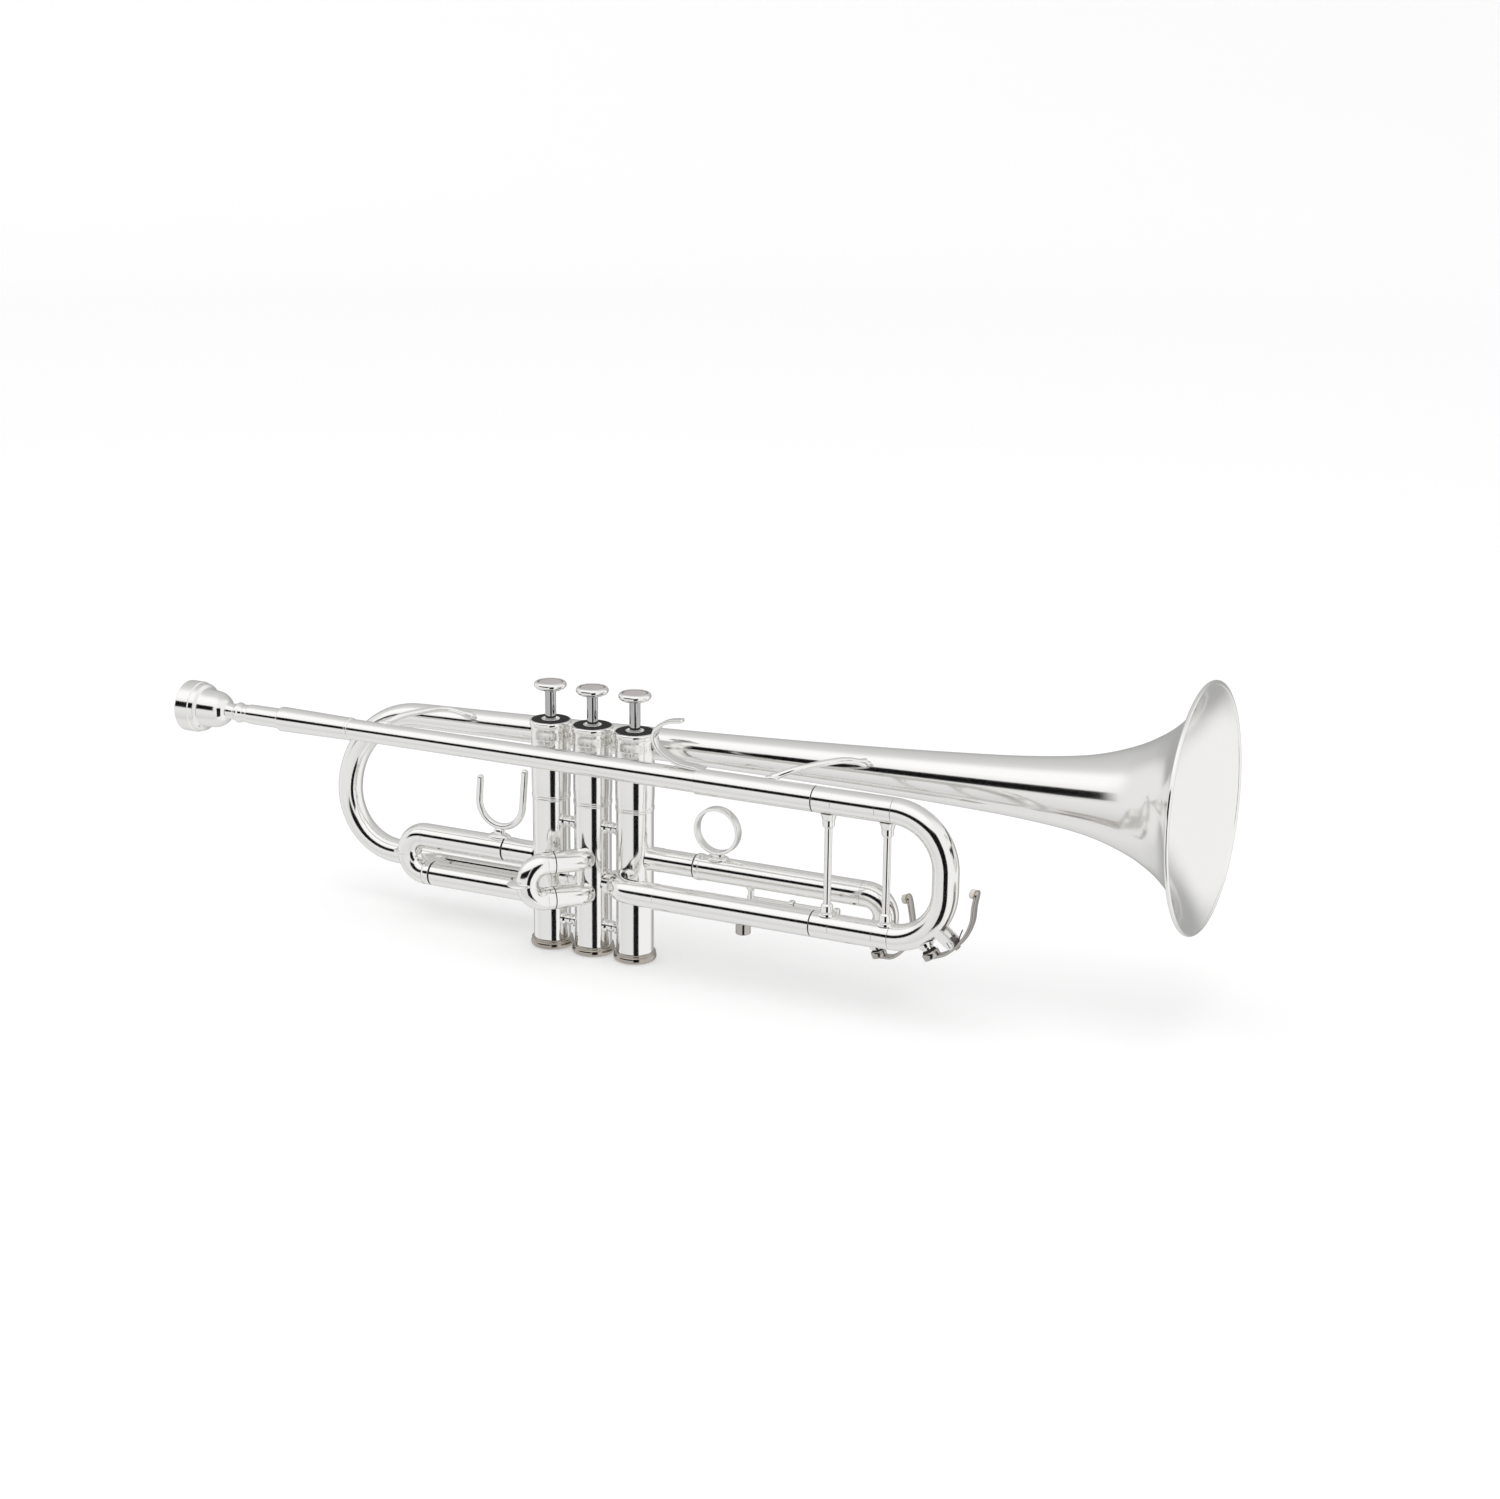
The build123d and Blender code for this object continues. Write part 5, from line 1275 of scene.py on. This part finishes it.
# ---- bell ---------------------------------------------------------------
@dataclass
class Bell:
    """Bell with its rolled rim, the bow behind it and its braces."""

    lean: float = 6.2
    tilt: float = 1.35
    wall: float = 0.55
    bead: float = 1.13
    bow_tube: float = 6.6
    bow_bore: float = 6.1
    low_radius: float = 33.1
    high_radius: float = 43.9
    entry_bend: float = 9.5
    flare: tuple[tuple[float, float], ...] = (
        (0.0, 60.9), (3.0, 53.6), (7.0, 47.0), (13.0, 40.3), (22.0, 33.4), (36.0, 26.2), (58.0, 19.6),
        (90.0, 15.6), (130.0, 13.2), (180.0, 11.2), (250.0, 9.3), (340.0, 7.8),
    )
    front_brace: tuple[tuple[float, float, float], ...] = (
        (113.0, -22.6, 54.4), (124.0, -15.0, 58.6), (139.0, 2.0, 60.4), (146.0, 15.8, 56.6)
    )
    rear_brace: tuple[tuple[float, float, float], ...] = (
        (-112.0, -22.6, 53.2), (-104.0, -12.0, 56.4), (-93.0, 6.0, 56.2), (-86.0, 20.6, 50.0)
    )

    def __post_init__(self) -> None:
        """Work out the leaning plane, the bell's axis and the bow's start."""
        span = Span.of("bell_bow")
        valve = Span.of("valve_casing_1").middle
        self.valve_x = valve.x
        self.leg = Vector((0, 0, span.low.z + self.bow_tube))
        lean = math.radians(self.lean)
        self.up = Vector((0, math.sin(lean), math.cos(lean)))
        self.left = span.low.x + self.bow_tube
        rim = Span.of("bell_rim")
        self.rim = rim.middle.copy()
        tilt = math.radians(self.tilt)
        self.axis = (X * math.cos(tilt) + self.up * math.sin(tilt)).normalized()
        high = Vector((self.left + self.high_radius, 0, 0))
        tail = high + Vector((self.high_radius * math.cos(math.pi / 2 + tilt), 0, 0))
        rise = self.low_radius + self.high_radius * math.sin(math.pi / 2 + tilt)
        self.length = (self.rim.x - tail.x) / math.cos(tilt)
        self.leg = self.rim - self.axis * self.length - self.up * rise
        self.leg.x = 0.0

    def build(self) -> None:
        """Build the bell and the bow."""
        self.bell()
        self.rim_bead()
        self.bow()
        self.braces()

    def bell(self) -> None:
        """Spun bell with a thin wall."""
        outer = eased([*self.flare, (self.length, self.bow_tube)], 10)
        inner = []
        for index, point in enumerate(outer):
            run = outer[min(index + 1, len(outer) - 1)] - outer[max(index - 1, 0)]
            across = Vector((run.y, -run.x)).normalized() * self.wall
            inner.append(point + across)
        inner[0] = Vector((0.1, self.flare[0][1] - 0.9))
        inner[-1] = Vector((self.length, self.bow_tube - self.wall))
        outline = [tuple(p) for p in outer] + [tuple(p) for p in reversed(inner)]
        blank = Blank("plated_bell").turn(outline, self.rim, -self.axis, steps=192)
        blank.finish(Body.HORN, SILVER, "bell", even=False)

    def rim_bead(self) -> None:
        """Wire-rolled rim."""
        middle = self.flare[0][1] - 0.4
        outline = [(0.2 + u, middle + v) for u, v in disc(self.bead, 20)]
        outline.append(outline[0])
        blank = Blank("plated_bell_rim").turn(outline[:-1], self.rim, -self.axis, steps=192)
        blank.finish(Body.HORN, SILVER, "bell_rim", even=False)

    def bow(self) -> None:
        """Bow from the first valve round to the bell's tail."""
        entry = self.entry_bend
        straight = self.valve_x - entry - (self.left + self.low_radius)
        turn = math.radians(90 - self.tilt)
        heading = -X
        start = Vector((self.valve_x, self.leg.y - entry, self.leg.z)) - Y * 1.2
        moves = [Run(1.2), Bend(heading, entry), Run(straight), Bend(self.up, self.low_radius)]
        moves.append(Bend(X, self.high_radius, turn))
        blank = Blank("plated_bow").pipe(start, Y, moves, self.bow_tube, self.bow_bore)
        blank.finish(Body.HORN, SILVER, "bell_bow", even=False)

    def braces(self) -> None:
        """Bent braces between the leadpipe and the bell, with oval feet."""
        blank = Blank("plated_bell_braces")
        for route in (self.front_brace, self.rear_brace):
            path = eased(route, 12)

            def size(t: float) -> tuple[float, float]:
                """Thickened a little towards both feet."""
                swell = 1 + 0.5 * max(0.0, abs(2 * t - 1) - 0.8) / 0.2
                return swell, swell

            blank.sweep(disc(1.6, 24), path, Vector((0.3, 0, 1)), size)
            for foot in (path[0], path[-1]):
                blank.ball(foot, 2.6, Vector((1.35, 0.9, 0.55)))
        blank.finish(Body.HORN, SILVER, "bell_braces", even=False)


# ---- valve slides -------------------------------------------------------
@dataclass
class FirstSlide:
    """First valve's slide with its thumb hook."""

    ferrule: float = 4.8
    stub: float = 6.35
    wire: float = 1.8
    hook_radius: float = 13.2
    hook_lean: float = 4.8
    left_arm: float = 24.2
    right_arm: float = 32.8
    foot: Vector = field(default_factory=lambda: Vector((-56.5, 0.0, -1.9)))

    def build(self) -> None:
        """Build the slide."""
        self.upper = Span.of("first_slide_sleeve").middle.z
        self.lower = Span.of("first_slide_fixed_sleeve").middle.z
        self.crook_x = Span.of("first_slide_sleeve").low.x
        self.casing_x = Span.of("valve_casing_1").middle.x - 8.6
        self.fixed()
        self.moving()
        self.thumb_hook()

    def fixed(self) -> None:
        """Upper inner tube with its ferrule and lower outer sleeve, both on the casing."""
        span = Span.of("first_slide_sleeve")
        joint = span.high.x + 1.0
        end = Span.of("first_slide_fixed_tube").low.x
        at = Vector((0, 0, self.upper))
        outline = [
            (end, TUBES.bore), (end, TUBES.leg), (joint, TUBES.leg), (joint, TUBES.sleeve - 0.12),
            (joint + 0.12, TUBES.sleeve), (joint + self.ferrule - 0.12, TUBES.sleeve),
            (joint + self.ferrule, TUBES.sleeve - 0.14), (joint + self.ferrule + 0.1, self.stub),
            (self.casing_x, self.stub), (self.casing_x, TUBES.bore),
        ]
        blank = Blank("plated_first_fixed_tube").turn(outline, at, X)
        blank.finish(Body.HORN, SILVER, "first_slide_fixed_tube")
        start = Span.of("first_slide_fixed_sleeve").low.x
        start += 0.2
        outline = TUBES.sleeve_outline(self.casing_x - start, TUBES.sleeve_bore)
        blank = Blank("plated_first_fixed_sleeve").turn(outline, Vector((start, 0, self.lower)), X)
        blank.finish(Body.HORN, SILVER, "first_slide_fixed_sleeve")

    def moving(self) -> None:
        """Upper sleeve, lower inner leg, and the crook with its pull knob."""
        span = Span.of("first_slide_sleeve")
        outline = TUBES.sleeve_outline(span.high.x - span.low.x, TUBES.sleeve_bore)
        blank = Blank("plated_first_sleeve").turn(outline, Vector((span.low.x, 0, self.upper)), X)
        blank.finish(Body.FIRST_SLIDE, SILVER, "first_slide_sleeve")
        coat_nodes(SILVER, "first_slide_inner_leg")

        crook = self.crook_x
        radius = (self.upper - self.lower) / 2
        blank = Blank("plated_first_crook")
        start = Vector((crook, 0, self.upper))
        blank.pipe(start, -X, [Bend(-Z, radius, math.pi)], TUBES.sleeve, TUBES.bore)
        joint = Span.of("first_slide_fixed_sleeve").low.x - 0.8
        outline = TUBES.sleeve_outline(joint - crook - 0.05, TUBES.leg + 0.01)
        blank.turn(outline, Vector((crook + 0.05, 0, self.lower)), X)
        tip = Span.of("first_slide_crook").low.x
        middle = Vector((tip + NUB_RADIUS, 0, (self.upper + self.lower) / 2))
        blank.turn(NUB, middle, Z, steps=64)
        blank.finish(Body.FIRST_SLIDE, SILVER, "first_slide_crook", even=False)

    def thumb_hook(self) -> None:
        """U-shaped thumb hook of round wire on a saddle."""
        lean = math.radians(self.hook_lean)
        along = Vector((math.cos(lean), 0, -math.sin(lean)))
        rise = Vector((math.sin(lean), 0, math.cos(lean)))
        centre = self.foot + rise * self.hook_radius
        left = centre - along * self.hook_radius
        right = centre + along * self.hook_radius
        down = [left + rise * (self.left_arm - self.hook_radius) * (1 - k / 8) for k in range(8)]
        bend = arc(centre, left, Y, -math.pi, 32)
        over = [right + rise * (self.right_arm - self.hook_radius) * (k + 1) / 8 for k in range(8)]
        path = down + bend + over
        blank = Blank("plated_thumb_hook").sweep(disc(self.wire, 28), path, Y)
        blank.ball(path[0], self.wire).ball(path[-1], self.wire)
        blank.ball(self.foot - Z * 3.6, 2.6, Vector((1.25, 0.9, 1.3)))
        blank.ball(self.foot - Z * 5.9, 5.0, Vector((1.32, 0.9, 0.5)))
        blank.finish(Body.FIRST_SLIDE, SILVER, "thumb_hook", even=False)


@dataclass
class SecondSlide:
    """Second valve's short slide, turned to the player's right."""

    angle: float = 42.0
    elbow_y: float = -11.8
    joint: float = 15.5
    ferrule: float = 20.0
    reach: float = 29.8
    tube: float = 5.95
    leg: float = 5.5
    leg_bore: float = 5.1

    def __post_init__(self) -> None:
        """Work out the legs' direction and heights."""
        turn = math.radians(self.angle)
        self.way = Vector((-math.sin(turn), -math.cos(turn), 0))
        legs = Span.of("second_slide_legs")
        self.heights = (legs.high.z - self.tube, legs.low.z + self.tube)

    def build(self) -> None:
        """Build the slide."""
        self.sleeves()
        self.legs()
        self.crook()

    def at(self, height: float, along: float = 0.0) -> Vector:
        """Point on a leg, along it from its elbow."""
        return Vector((0, self.elbow_y, height)) + self.way * along

    def sleeves(self) -> None:
        """Elbowed outer tubes soldered to the casing."""
        blank = Blank("plated_second_sleeves")
        bend = 7.0
        turn = math.radians(self.angle)
        side = -X
        cut = bend * math.tan(turn / 2)
        for height in self.heights:
            start = Vector((0, -8.6, height))
            moves = [Run(-8.6 - self.elbow_y - cut), Bend(side, bend, turn), Run(self.joint - cut)]
            blank.pipe(start, -Y, moves, self.tube, self.leg + 0.05)
        blank.finish(Body.HORN, SILVER, "second_slide_sleeves", even=False)

    def legs(self) -> None:
        """Inner legs and their ferrules."""
        blank = Blank("plated_second_legs")
        start = self.joint + 0.45
        for height in self.heights:
            reach, tube = self.ferrule - start, self.tube
            outline = [
                (0.0, self.leg_bore), (0.0, tube - 0.15), (0.15, tube), (reach - 0.15, tube),
                (reach, tube - 0.15), (reach, self.leg_bore),
            ]
            blank.turn(outline, self.at(height, start), self.way)
            blank.turn(band(5.0, start + 1, self.leg, self.leg_bore), self.at(height), self.way)
        blank.finish(Body.SECOND_SLIDE, SILVER, "second_slide_legs")

    def crook(self) -> None:
        """Crook with a small turned pull nub."""
        high, low = self.heights
        radius = (high - low) / 2
        straight = self.reach - radius - self.ferrule - 0.05
        blank = Blank("plated_second_crook")
        moves = [Run(straight), Bend(-Z, radius, math.pi), Run(straight)]
        blank.pipe(self.at(high, self.ferrule + 0.05), self.way, moves, self.tube, self.leg_bore)
        blank.turn(NUB, self.at((high + low) / 2, self.reach + 3.7), Z, steps=64)
        blank.finish(Body.SECOND_SLIDE, SILVER, "second_slide_crook", even=False)


@dataclass
class ThirdSlide:
    """Third valve's long slide with its finger ring and stop rod."""

    ring: float = 12.5
    ring_bore: float = 10.8
    stop_height: float = -18.2
    post_x: float = 91.5
    lug_x: float = 114.5
    screw_x: float = 87.3

    def build(self) -> None:
        """Build the slide."""
        self.upper = Span.of("third_slide_fixed_tube").middle.z
        self.lower = Span.of("third_slide_fixed_sleeve").middle.z
        self.middle = (self.upper + self.lower) / 2
        self.casing_x = Span.of("valve_casing_3").middle.x + 8.6
        self.fixed()
        self.moving()
        self.finger_ring()
        self.stop()

    def fixed(self) -> None:
        """Upper inner tube and lower outer sleeve on the casing."""
        end = Span.of("third_slide_fixed_tube").high.x
        outline = [
            (self.casing_x, TUBES.bore), (self.casing_x, TUBES.leg + 0.15), (40.5, TUBES.leg + 0.15),
            (40.7, TUBES.leg), (end, TUBES.leg), (end, TUBES.bore),
        ]
        blank = Blank("plated_third_fixed_tube").turn(outline, Vector((0, 0, self.upper)), X)
        blank.finish(Body.HORN, SILVER, "third_slide_fixed_tube")
        joint = Span.of("third_slide_fixed_sleeve").high.x
        outline = TUBES.sleeve_outline(joint - 0.2 - self.casing_x, TUBES.sleeve_bore)
        at = Vector((self.casing_x, 0, self.lower))
        blank = Blank("plated_third_fixed_sleeve").turn(outline, at, X)
        blank.finish(Body.HORN, SILVER, "third_slide_fixed_sleeve")

    def moving(self) -> None:
        """Upper sleeve with its collar, lower inner leg, and the crook."""
        span = Span.of("third_slide_sleeve")
        length = span.high.x - span.low.x
        outline = [
            (0.0, TUBES.sleeve_bore), (0.0, 6.7), (0.2, 6.9), (0.6, 7.0), (2.2, 7.0), (2.6, 6.9),
            (2.8, TUBES.sleeve + 0.02), (length, TUBES.sleeve), (length, TUBES.sleeve_bore),
        ]
        at = Vector((span.low.x, 0, self.upper))
        blank = Blank("plated_third_sleeve").turn(outline, at, X)
        blank.finish(Body.THIRD_SLIDE, SILVER, "third_slide_sleeve")
        coat_nodes(SILVER, "third_slide_inner_leg")

        radius = (self.upper - self.lower) / 2
        bend_x = Span.of("third_slide_inner_leg").high.x
        joint = Span.of("third_slide_fixed_sleeve").high.x + 0.8
        blank = Blank("plated_third_crook")
        start = Vector((span.high.x + 0.12, 0, self.upper))
        moves = [Run(bend_x - start.x), Bend(-Z, radius, math.pi)]
        blank.pipe(start, X, moves, TUBES.sleeve, TUBES.bore)
        outline = TUBES.sleeve_outline(bend_x - joint - 0.05, TUBES.leg + 0.01)
        blank.turn(outline, Vector((joint, 0, self.lower)), X)
        blank.finish(Body.THIRD_SLIDE, SILVER, "third_slide_crook", even=False)

    def finger_ring(self) -> None:
        """Finger ring on a waisted foot and a saddle."""
        ring_span = Span.of("third_slide_ring")
        x = ring_span.middle.x
        z = ring_span.high.z - self.ring
        blank = Blank("plated_finger_ring")
        half = 2.5
        outline = [
            (-half, self.ring_bore + 0.2), (-half, self.ring - 0.25), (-half + 0.25, self.ring),
            (half - 0.25, self.ring), (half, self.ring - 0.25), (half, self.ring_bore + 0.2),
            (half - 0.2, self.ring_bore), (-half + 0.2, self.ring_bore),
        ]
        blank.turn(outline, Vector((x, 0, z)), Y)
        low = z - self.ring + 0.4
        foot = self.upper + TUBES.sleeve
        blank.ball(Vector((x, 0, (foot + low) / 2)), 3.2, Vector((1.2, 0.75, 0.9)))
        blank.ball(Vector((x, 0, foot - 0.7)), 5.4, Vector((1.2, 0.9, 0.36)))
        blank.finish(Body.THIRD_SLIDE, SILVER, "third_slide_ring")

    def stop(self) -> None:
        """Stop rod on the moving slide; lug with its eye and the screw on the fixed sleeve."""
        span = Span.of("third_slide_stop_rod")
        blank = Blank("plated_stop_rod")
        end = span.high.x
        rod = [
            (self.post_x - 1.8, 0.0), (self.post_x - 1.8, 1.0), (end - 2.4, 1.0), (end - 2.35, 1.9),
            (end - 2.15, 2.1), (end - 0.3, 2.1), (end, 1.8), (end, 0.0),
        ]
        blank.turn(rod, Vector((0, 0, self.stop_height)), X, steps=40)
        top = self.upper - TUBES.sleeve
        post = [
            (self.stop_height - 1.2, 0.0), (self.stop_height - 1.2, 1.2), (self.stop_height - 0.9, 1.6),
            (top - 1.4, 1.6), (top - 0.4, 2.4), (top + 1.2, 3.0), (top + 1.2, 0.0),
        ]
        blank.turn(post, Vector((self.post_x, 0, 0)), Z, 0.1, 40)
        blank.finish(Body.THIRD_SLIDE, SILVER, "third_slide_stop_rod")

        blank = Blank("plated_stop_fittings")
        eye = [(-1.2, 1.4), (-1.2, 2.0), (-0.9, 2.3), (0.9, 2.3), (1.2, 2.0), (1.2, 1.4)]
        blank.turn(eye, Vector((self.lug_x, 0, self.stop_height)), X, steps=40)
        low = self.lower + TUBES.sleeve
        stand = [(low - 1.2, 0.0), (low - 1.2, 2.2), (low + 0.2, 1.8), (self.stop_height - 1.7, 1.2),
                 (self.stop_height - 1.7, 0.0)]
        blank.turn(stand, Vector((self.lug_x, 0, 0)), Z, 0.1, 40)
        blank.finish(Body.HORN, SILVER, "third_slide_stop_fittings")
        blank = Blank("nickel_stop_screw")
        foot = self.lower - TUBES.sleeve
        screw = [
            (-38.4, 0.0), (-38.4, 3.3), (-38.2, 3.7), (-37.8, 3.9), (foot + 1.2, 3.9), (foot + 1.2, 0.0),
        ]
        blank.turn(screw, Vector((self.screw_x, 0, 0)), Z, 0.08, 48)
        blank.finish(Body.HORN, KEY_NICKEL)


def water_keys() -> list[WaterKey]:
    """Both water keys, placed on their crooks."""
    main = Span.of("main_slide_crook")
    corner = main.high.x - TUBES.sleeve - main.low.x
    low = main.low.z + TUBES.sleeve
    upper = Span.of("third_slide_fixed_tube").middle.z
    lower = Span.of("third_slide_fixed_sleeve").middle.z
    radius = (upper - lower) / 2
    bend_x = Span.of("third_slide_inner_leg").high.x
    return [
        WaterKey(
            label="main_key", node="main_water_key", slide=Body.MAIN_SLIDE, key=Body.MAIN_KEY,
            centre=Vector((main.low.x, main.middle.y, low + corner)), bend=corner,
            nipple_angle=-57.0, hinge_angle=-38.0, hinge_reach=13.4,
            cork_start=corner + 9.25, cork_end=corner + 12.0, cork=3.6, cup=4.4,
            cup_top=corner + 12.02,
            lever=[(209.6, -19.4), (217.2, -11.6), (221.4, -2.4), (222.4, 6.6), (224.0, 14.4)],
            width=5.6, ears=3.9,
        ),
        WaterKey(
            label="third_key", node="third_water_key", slide=Body.THIRD_SLIDE, key=Body.THIRD_KEY,
            centre=Vector((bend_x, 0, (upper + lower) / 2)), bend=radius,
            nipple_angle=-70.0, hinge_angle=-30.0, hinge_reach=11.4,
            cork_start=radius + 8.45, cork_end=radius + 10.6, cork=3.2, cup=3.9,
            cup_top=radius + 10.62,
            lever=[(171.5, -36.2), (177.8, -29.0), (180.4, -18.4), (179.4, -9.6), (177.8, -2.4)],
            width=5.2, ears=3.6, nipple=2.8,
        ),
    ]


# ---- studio -------------------------------------------------------------
@dataclass
class Studio:
    """Pale floor, soft light and camera."""

    azimuth: float = 25.44
    elevation: float = 16.03
    roll: float = 0.68
    distance: float = 1.41834
    aim: tuple[float, float, float] = (0.0, 0.0, 0.013)
    aside: float = -0.08167
    lift: float = -0.03354
    lens: float = 65.47
    slit_angle: float = 16.5
    slit_half: float = 12.5
    flag_place: tuple[float, float, float] = (0.359, -0.494, -0.10)
    flag_size: tuple[float, float] = (0.34, 0.80)

    def build(self) -> None:
        """Set the stage."""
        self.camera()
        self.floor()
        self.sky()
        self.flag()
        self.lamp()
        view = bpy.context.scene.view_settings
        view.view_transform = "Standard"
        view.look = "None"

    def camera(self) -> None:
        """Camera at the working view."""
        a, e, r = (math.radians(v) for v in (self.azimuth, self.elevation, self.roll))
        back = Vector((math.sin(a) * math.cos(e), -math.cos(a) * math.cos(e), math.sin(e)))
        level = Vector((math.cos(a), math.sin(a), 0))
        over = back.cross(level)
        right = level * math.cos(r) + over * math.sin(r)
        up = over * math.cos(r) - level * math.sin(r)
        place = Vector(self.aim) + back * self.distance - right * self.aside - up * self.lift
        data = bpy.data.cameras.new("camera")
        data.lens = self.lens
        data.sensor_width = 36.0
        camera = bpy.data.objects.new("camera", data)
        turned = Matrix((right, up, back)).transposed().to_4x4()
        camera.matrix_world = Matrix.Translation(place) @ turned
        bpy.context.scene.collection.objects.link(camera)
        bpy.context.scene.camera = camera

    @staticmethod
    def prop(name: str, mesh: bmesh.types.BMesh, shader: str, inputs: dict) -> bpy.types.Object:
        """Make a piece of the set.

        Args:
            name: Name of the object, its mesh and its material.
            mesh: Its shape, in metres, which is freed.
            shader: Blender's name for the surface node.
            inputs: Values of the surface node.

        Returns:
            The object, linked to the scene.
        """
        data = bpy.data.meshes.new(name)
        mesh.to_mesh(data)
        mesh.free()
        piece = bpy.data.objects.new(name, data)
        bpy.context.scene.collection.objects.link(piece)
        paint = bpy.data.materials.new(name)
        graph = Graph(paint)
        surface = graph.node(shader, None, inputs)
        graph.node("ShaderNodeOutputMaterial", None, {"Surface": surface[0]})
        data.materials.append(paint)
        return piece

    def floor(self) -> None:
        """Pale floor that sweeps up into a backdrop all round."""
        mesh = bmesh.new()
        low = CAD_BOX[0].z
        curve = [(0.0, 0.0), (3.0, 0.0)]
        curve += [(3.0 + math.sin(a), 1 - math.cos(a)) for a in (0.26, 0.52, 0.79, 1.05, 1.31, 1.57)]
        curve.append((4.0, 5.0))
        loop = [mesh.verts.new((reach, 0, low + rise)) for reach, rise in curve]
        edges = [mesh.edges.new(pair) for pair in zip(loop, loop[1:])]
        bmesh.ops.spin(
            mesh, geom=loop + edges, cent=(0, 0, 0), axis=Z, angle=math.tau, steps=64, use_merge=True
        )
        bmesh.ops.remove_doubles(mesh, verts=mesh.verts, dist=1e-5)
        for face in mesh.faces:
            face.smooth = True
        inputs = {"Base Color": (0.82, 0.82, 0.82), "Roughness": 1.0}
        inputs |= {"Emission Color": (1.0, 1.0, 1.0), "Emission Strength": 0.30}
        floor = self.prop("floor", mesh, "ShaderNodeBsdfPrincipled", inputs)
        floor.visible_glossy = False
        floor.visible_diffuse = False
        floor.visible_shadow = False

    def sky(self) -> None:
        """Soft light all round: bright above, softer below, with a narrow gap at lens height."""
        world = bpy.data.worlds.new("studio")
        bpy.context.scene.world = world
        graph = Graph(world)
        way = graph.node("ShaderNodeTexCoord")["Generated"]
        parts = graph.node("ShaderNodeSeparateXYZ", None, {"Vector": way})
        angle = parts["Z"].angle_from(parts["Y"] * -1.0)
        degrees = (
            (-180, 0.42), (-165, 0.40), (-150, 0.44), (-135, 0.66), (-98, 0.79), (-60, 0.80),
            (-46, 0.70), (-34, 0.76), (-5, 0.84),
            (3, 0.77), (27, 0.93), (37, 0.97), (50, 1.05), (74, 1.05), (84, 0.93), (95, 0.76),
            (112, 0.66), (150, 0.56), (180, 0.42),
        )
        stops = [((d + 180) / 360, grey) for d, grey in degrees]
        turned = angle * (0.5 / math.pi) + 0.5
        glow = graph.node("ShaderNodeValToRGB", {"stops": stops}, {0: turned})["Color"]
        slit, half = math.radians(self.slit_angle), math.radians(self.slit_half)
        closed = abs(angle - slit).fade(half - 0.006, half + 0.006, 0.002, 1.0)
        reach = parts["X"].fade(-0.88, -0.80, 1.0, 0.0) + parts["X"].fade(0.20, 0.34)
        ahead = graph.mix(parts["X"].fade(0.30, 0.70), glow, (0.93, 0.93, 0.93))
        behind = graph.mix(parts["X"].fade(-0.95, -0.80, 1.0, 0.0), ahead, (0.84, 0.84, 0.84))
        level = graph.mix((closed + reach).least(1.0), (0.0, 0.0, 0.0), behind)
        light = graph.node("ShaderNodeBackground", None, {"Color": level, "Strength": 1.0})
        graph.node("ShaderNodeOutputWorld", None, {"Surface": light["Background"]})

    def flag(self) -> None:
        """Narrow black flag beside the lens, seen only in the metal."""
        mesh = bmesh.new()
        bmesh.ops.create_grid(mesh, x_segments=1, y_segments=1, size=0.5)
        wide, tall = self.flag_size
        toward = Vector((self.flag_place[0], self.flag_place[1], 0)).normalized()
        across = Z.cross(toward)
        columns = Matrix((across * wide, Z * tall, toward)).transposed().to_4x4()
        bmesh.ops.transform(mesh, matrix=Matrix.Translation(self.flag_place) @ columns, verts=mesh.verts)
        inputs = {"Color": (0.0, 0.0, 0.0), "Strength": 0.0}
        flag = self.prop("flag", mesh, "ShaderNodeEmission", inputs)
        flag.visible_camera = False
        flag.visible_diffuse = False
        flag.visible_shadow = False

    def lamp(self) -> None:
        """Large soft lamp overhead for the floor, the felts and the pearls."""
        data = bpy.data.lights.new("soft_lamp", "AREA")
        data.shape = "DISK"
        data.size = 1.6
        data.energy = 6.0
        lamp = bpy.data.objects.new("soft_lamp", data)
        lamp.location = (0.2, -0.6, 1.8)
        lamp.rotation_euler = Vector((0.2, -0.6, 1.8)).to_track_quat("Z", "Y").to_euler()
        lamp.visible_glossy = False
        bpy.context.scene.collection.objects.link(lamp)


def main() -> None:
    """Build the studio and the instrument."""
    logging.basicConfig(level=logging.INFO, format="%(message)s")
    Studio().build()
    ValveBlock().build()
    for number in VALVES:
        Piston(number).build()
    joint_shadows()
    Leadpipe().build()
    MainSlide().build()
    Bell().build()
    FirstSlide().build()
    SecondSlide().build()
    ThirdSlide().build()
    for key in water_keys():
        key.build()
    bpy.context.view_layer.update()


if __name__ == "__main__":
    main()
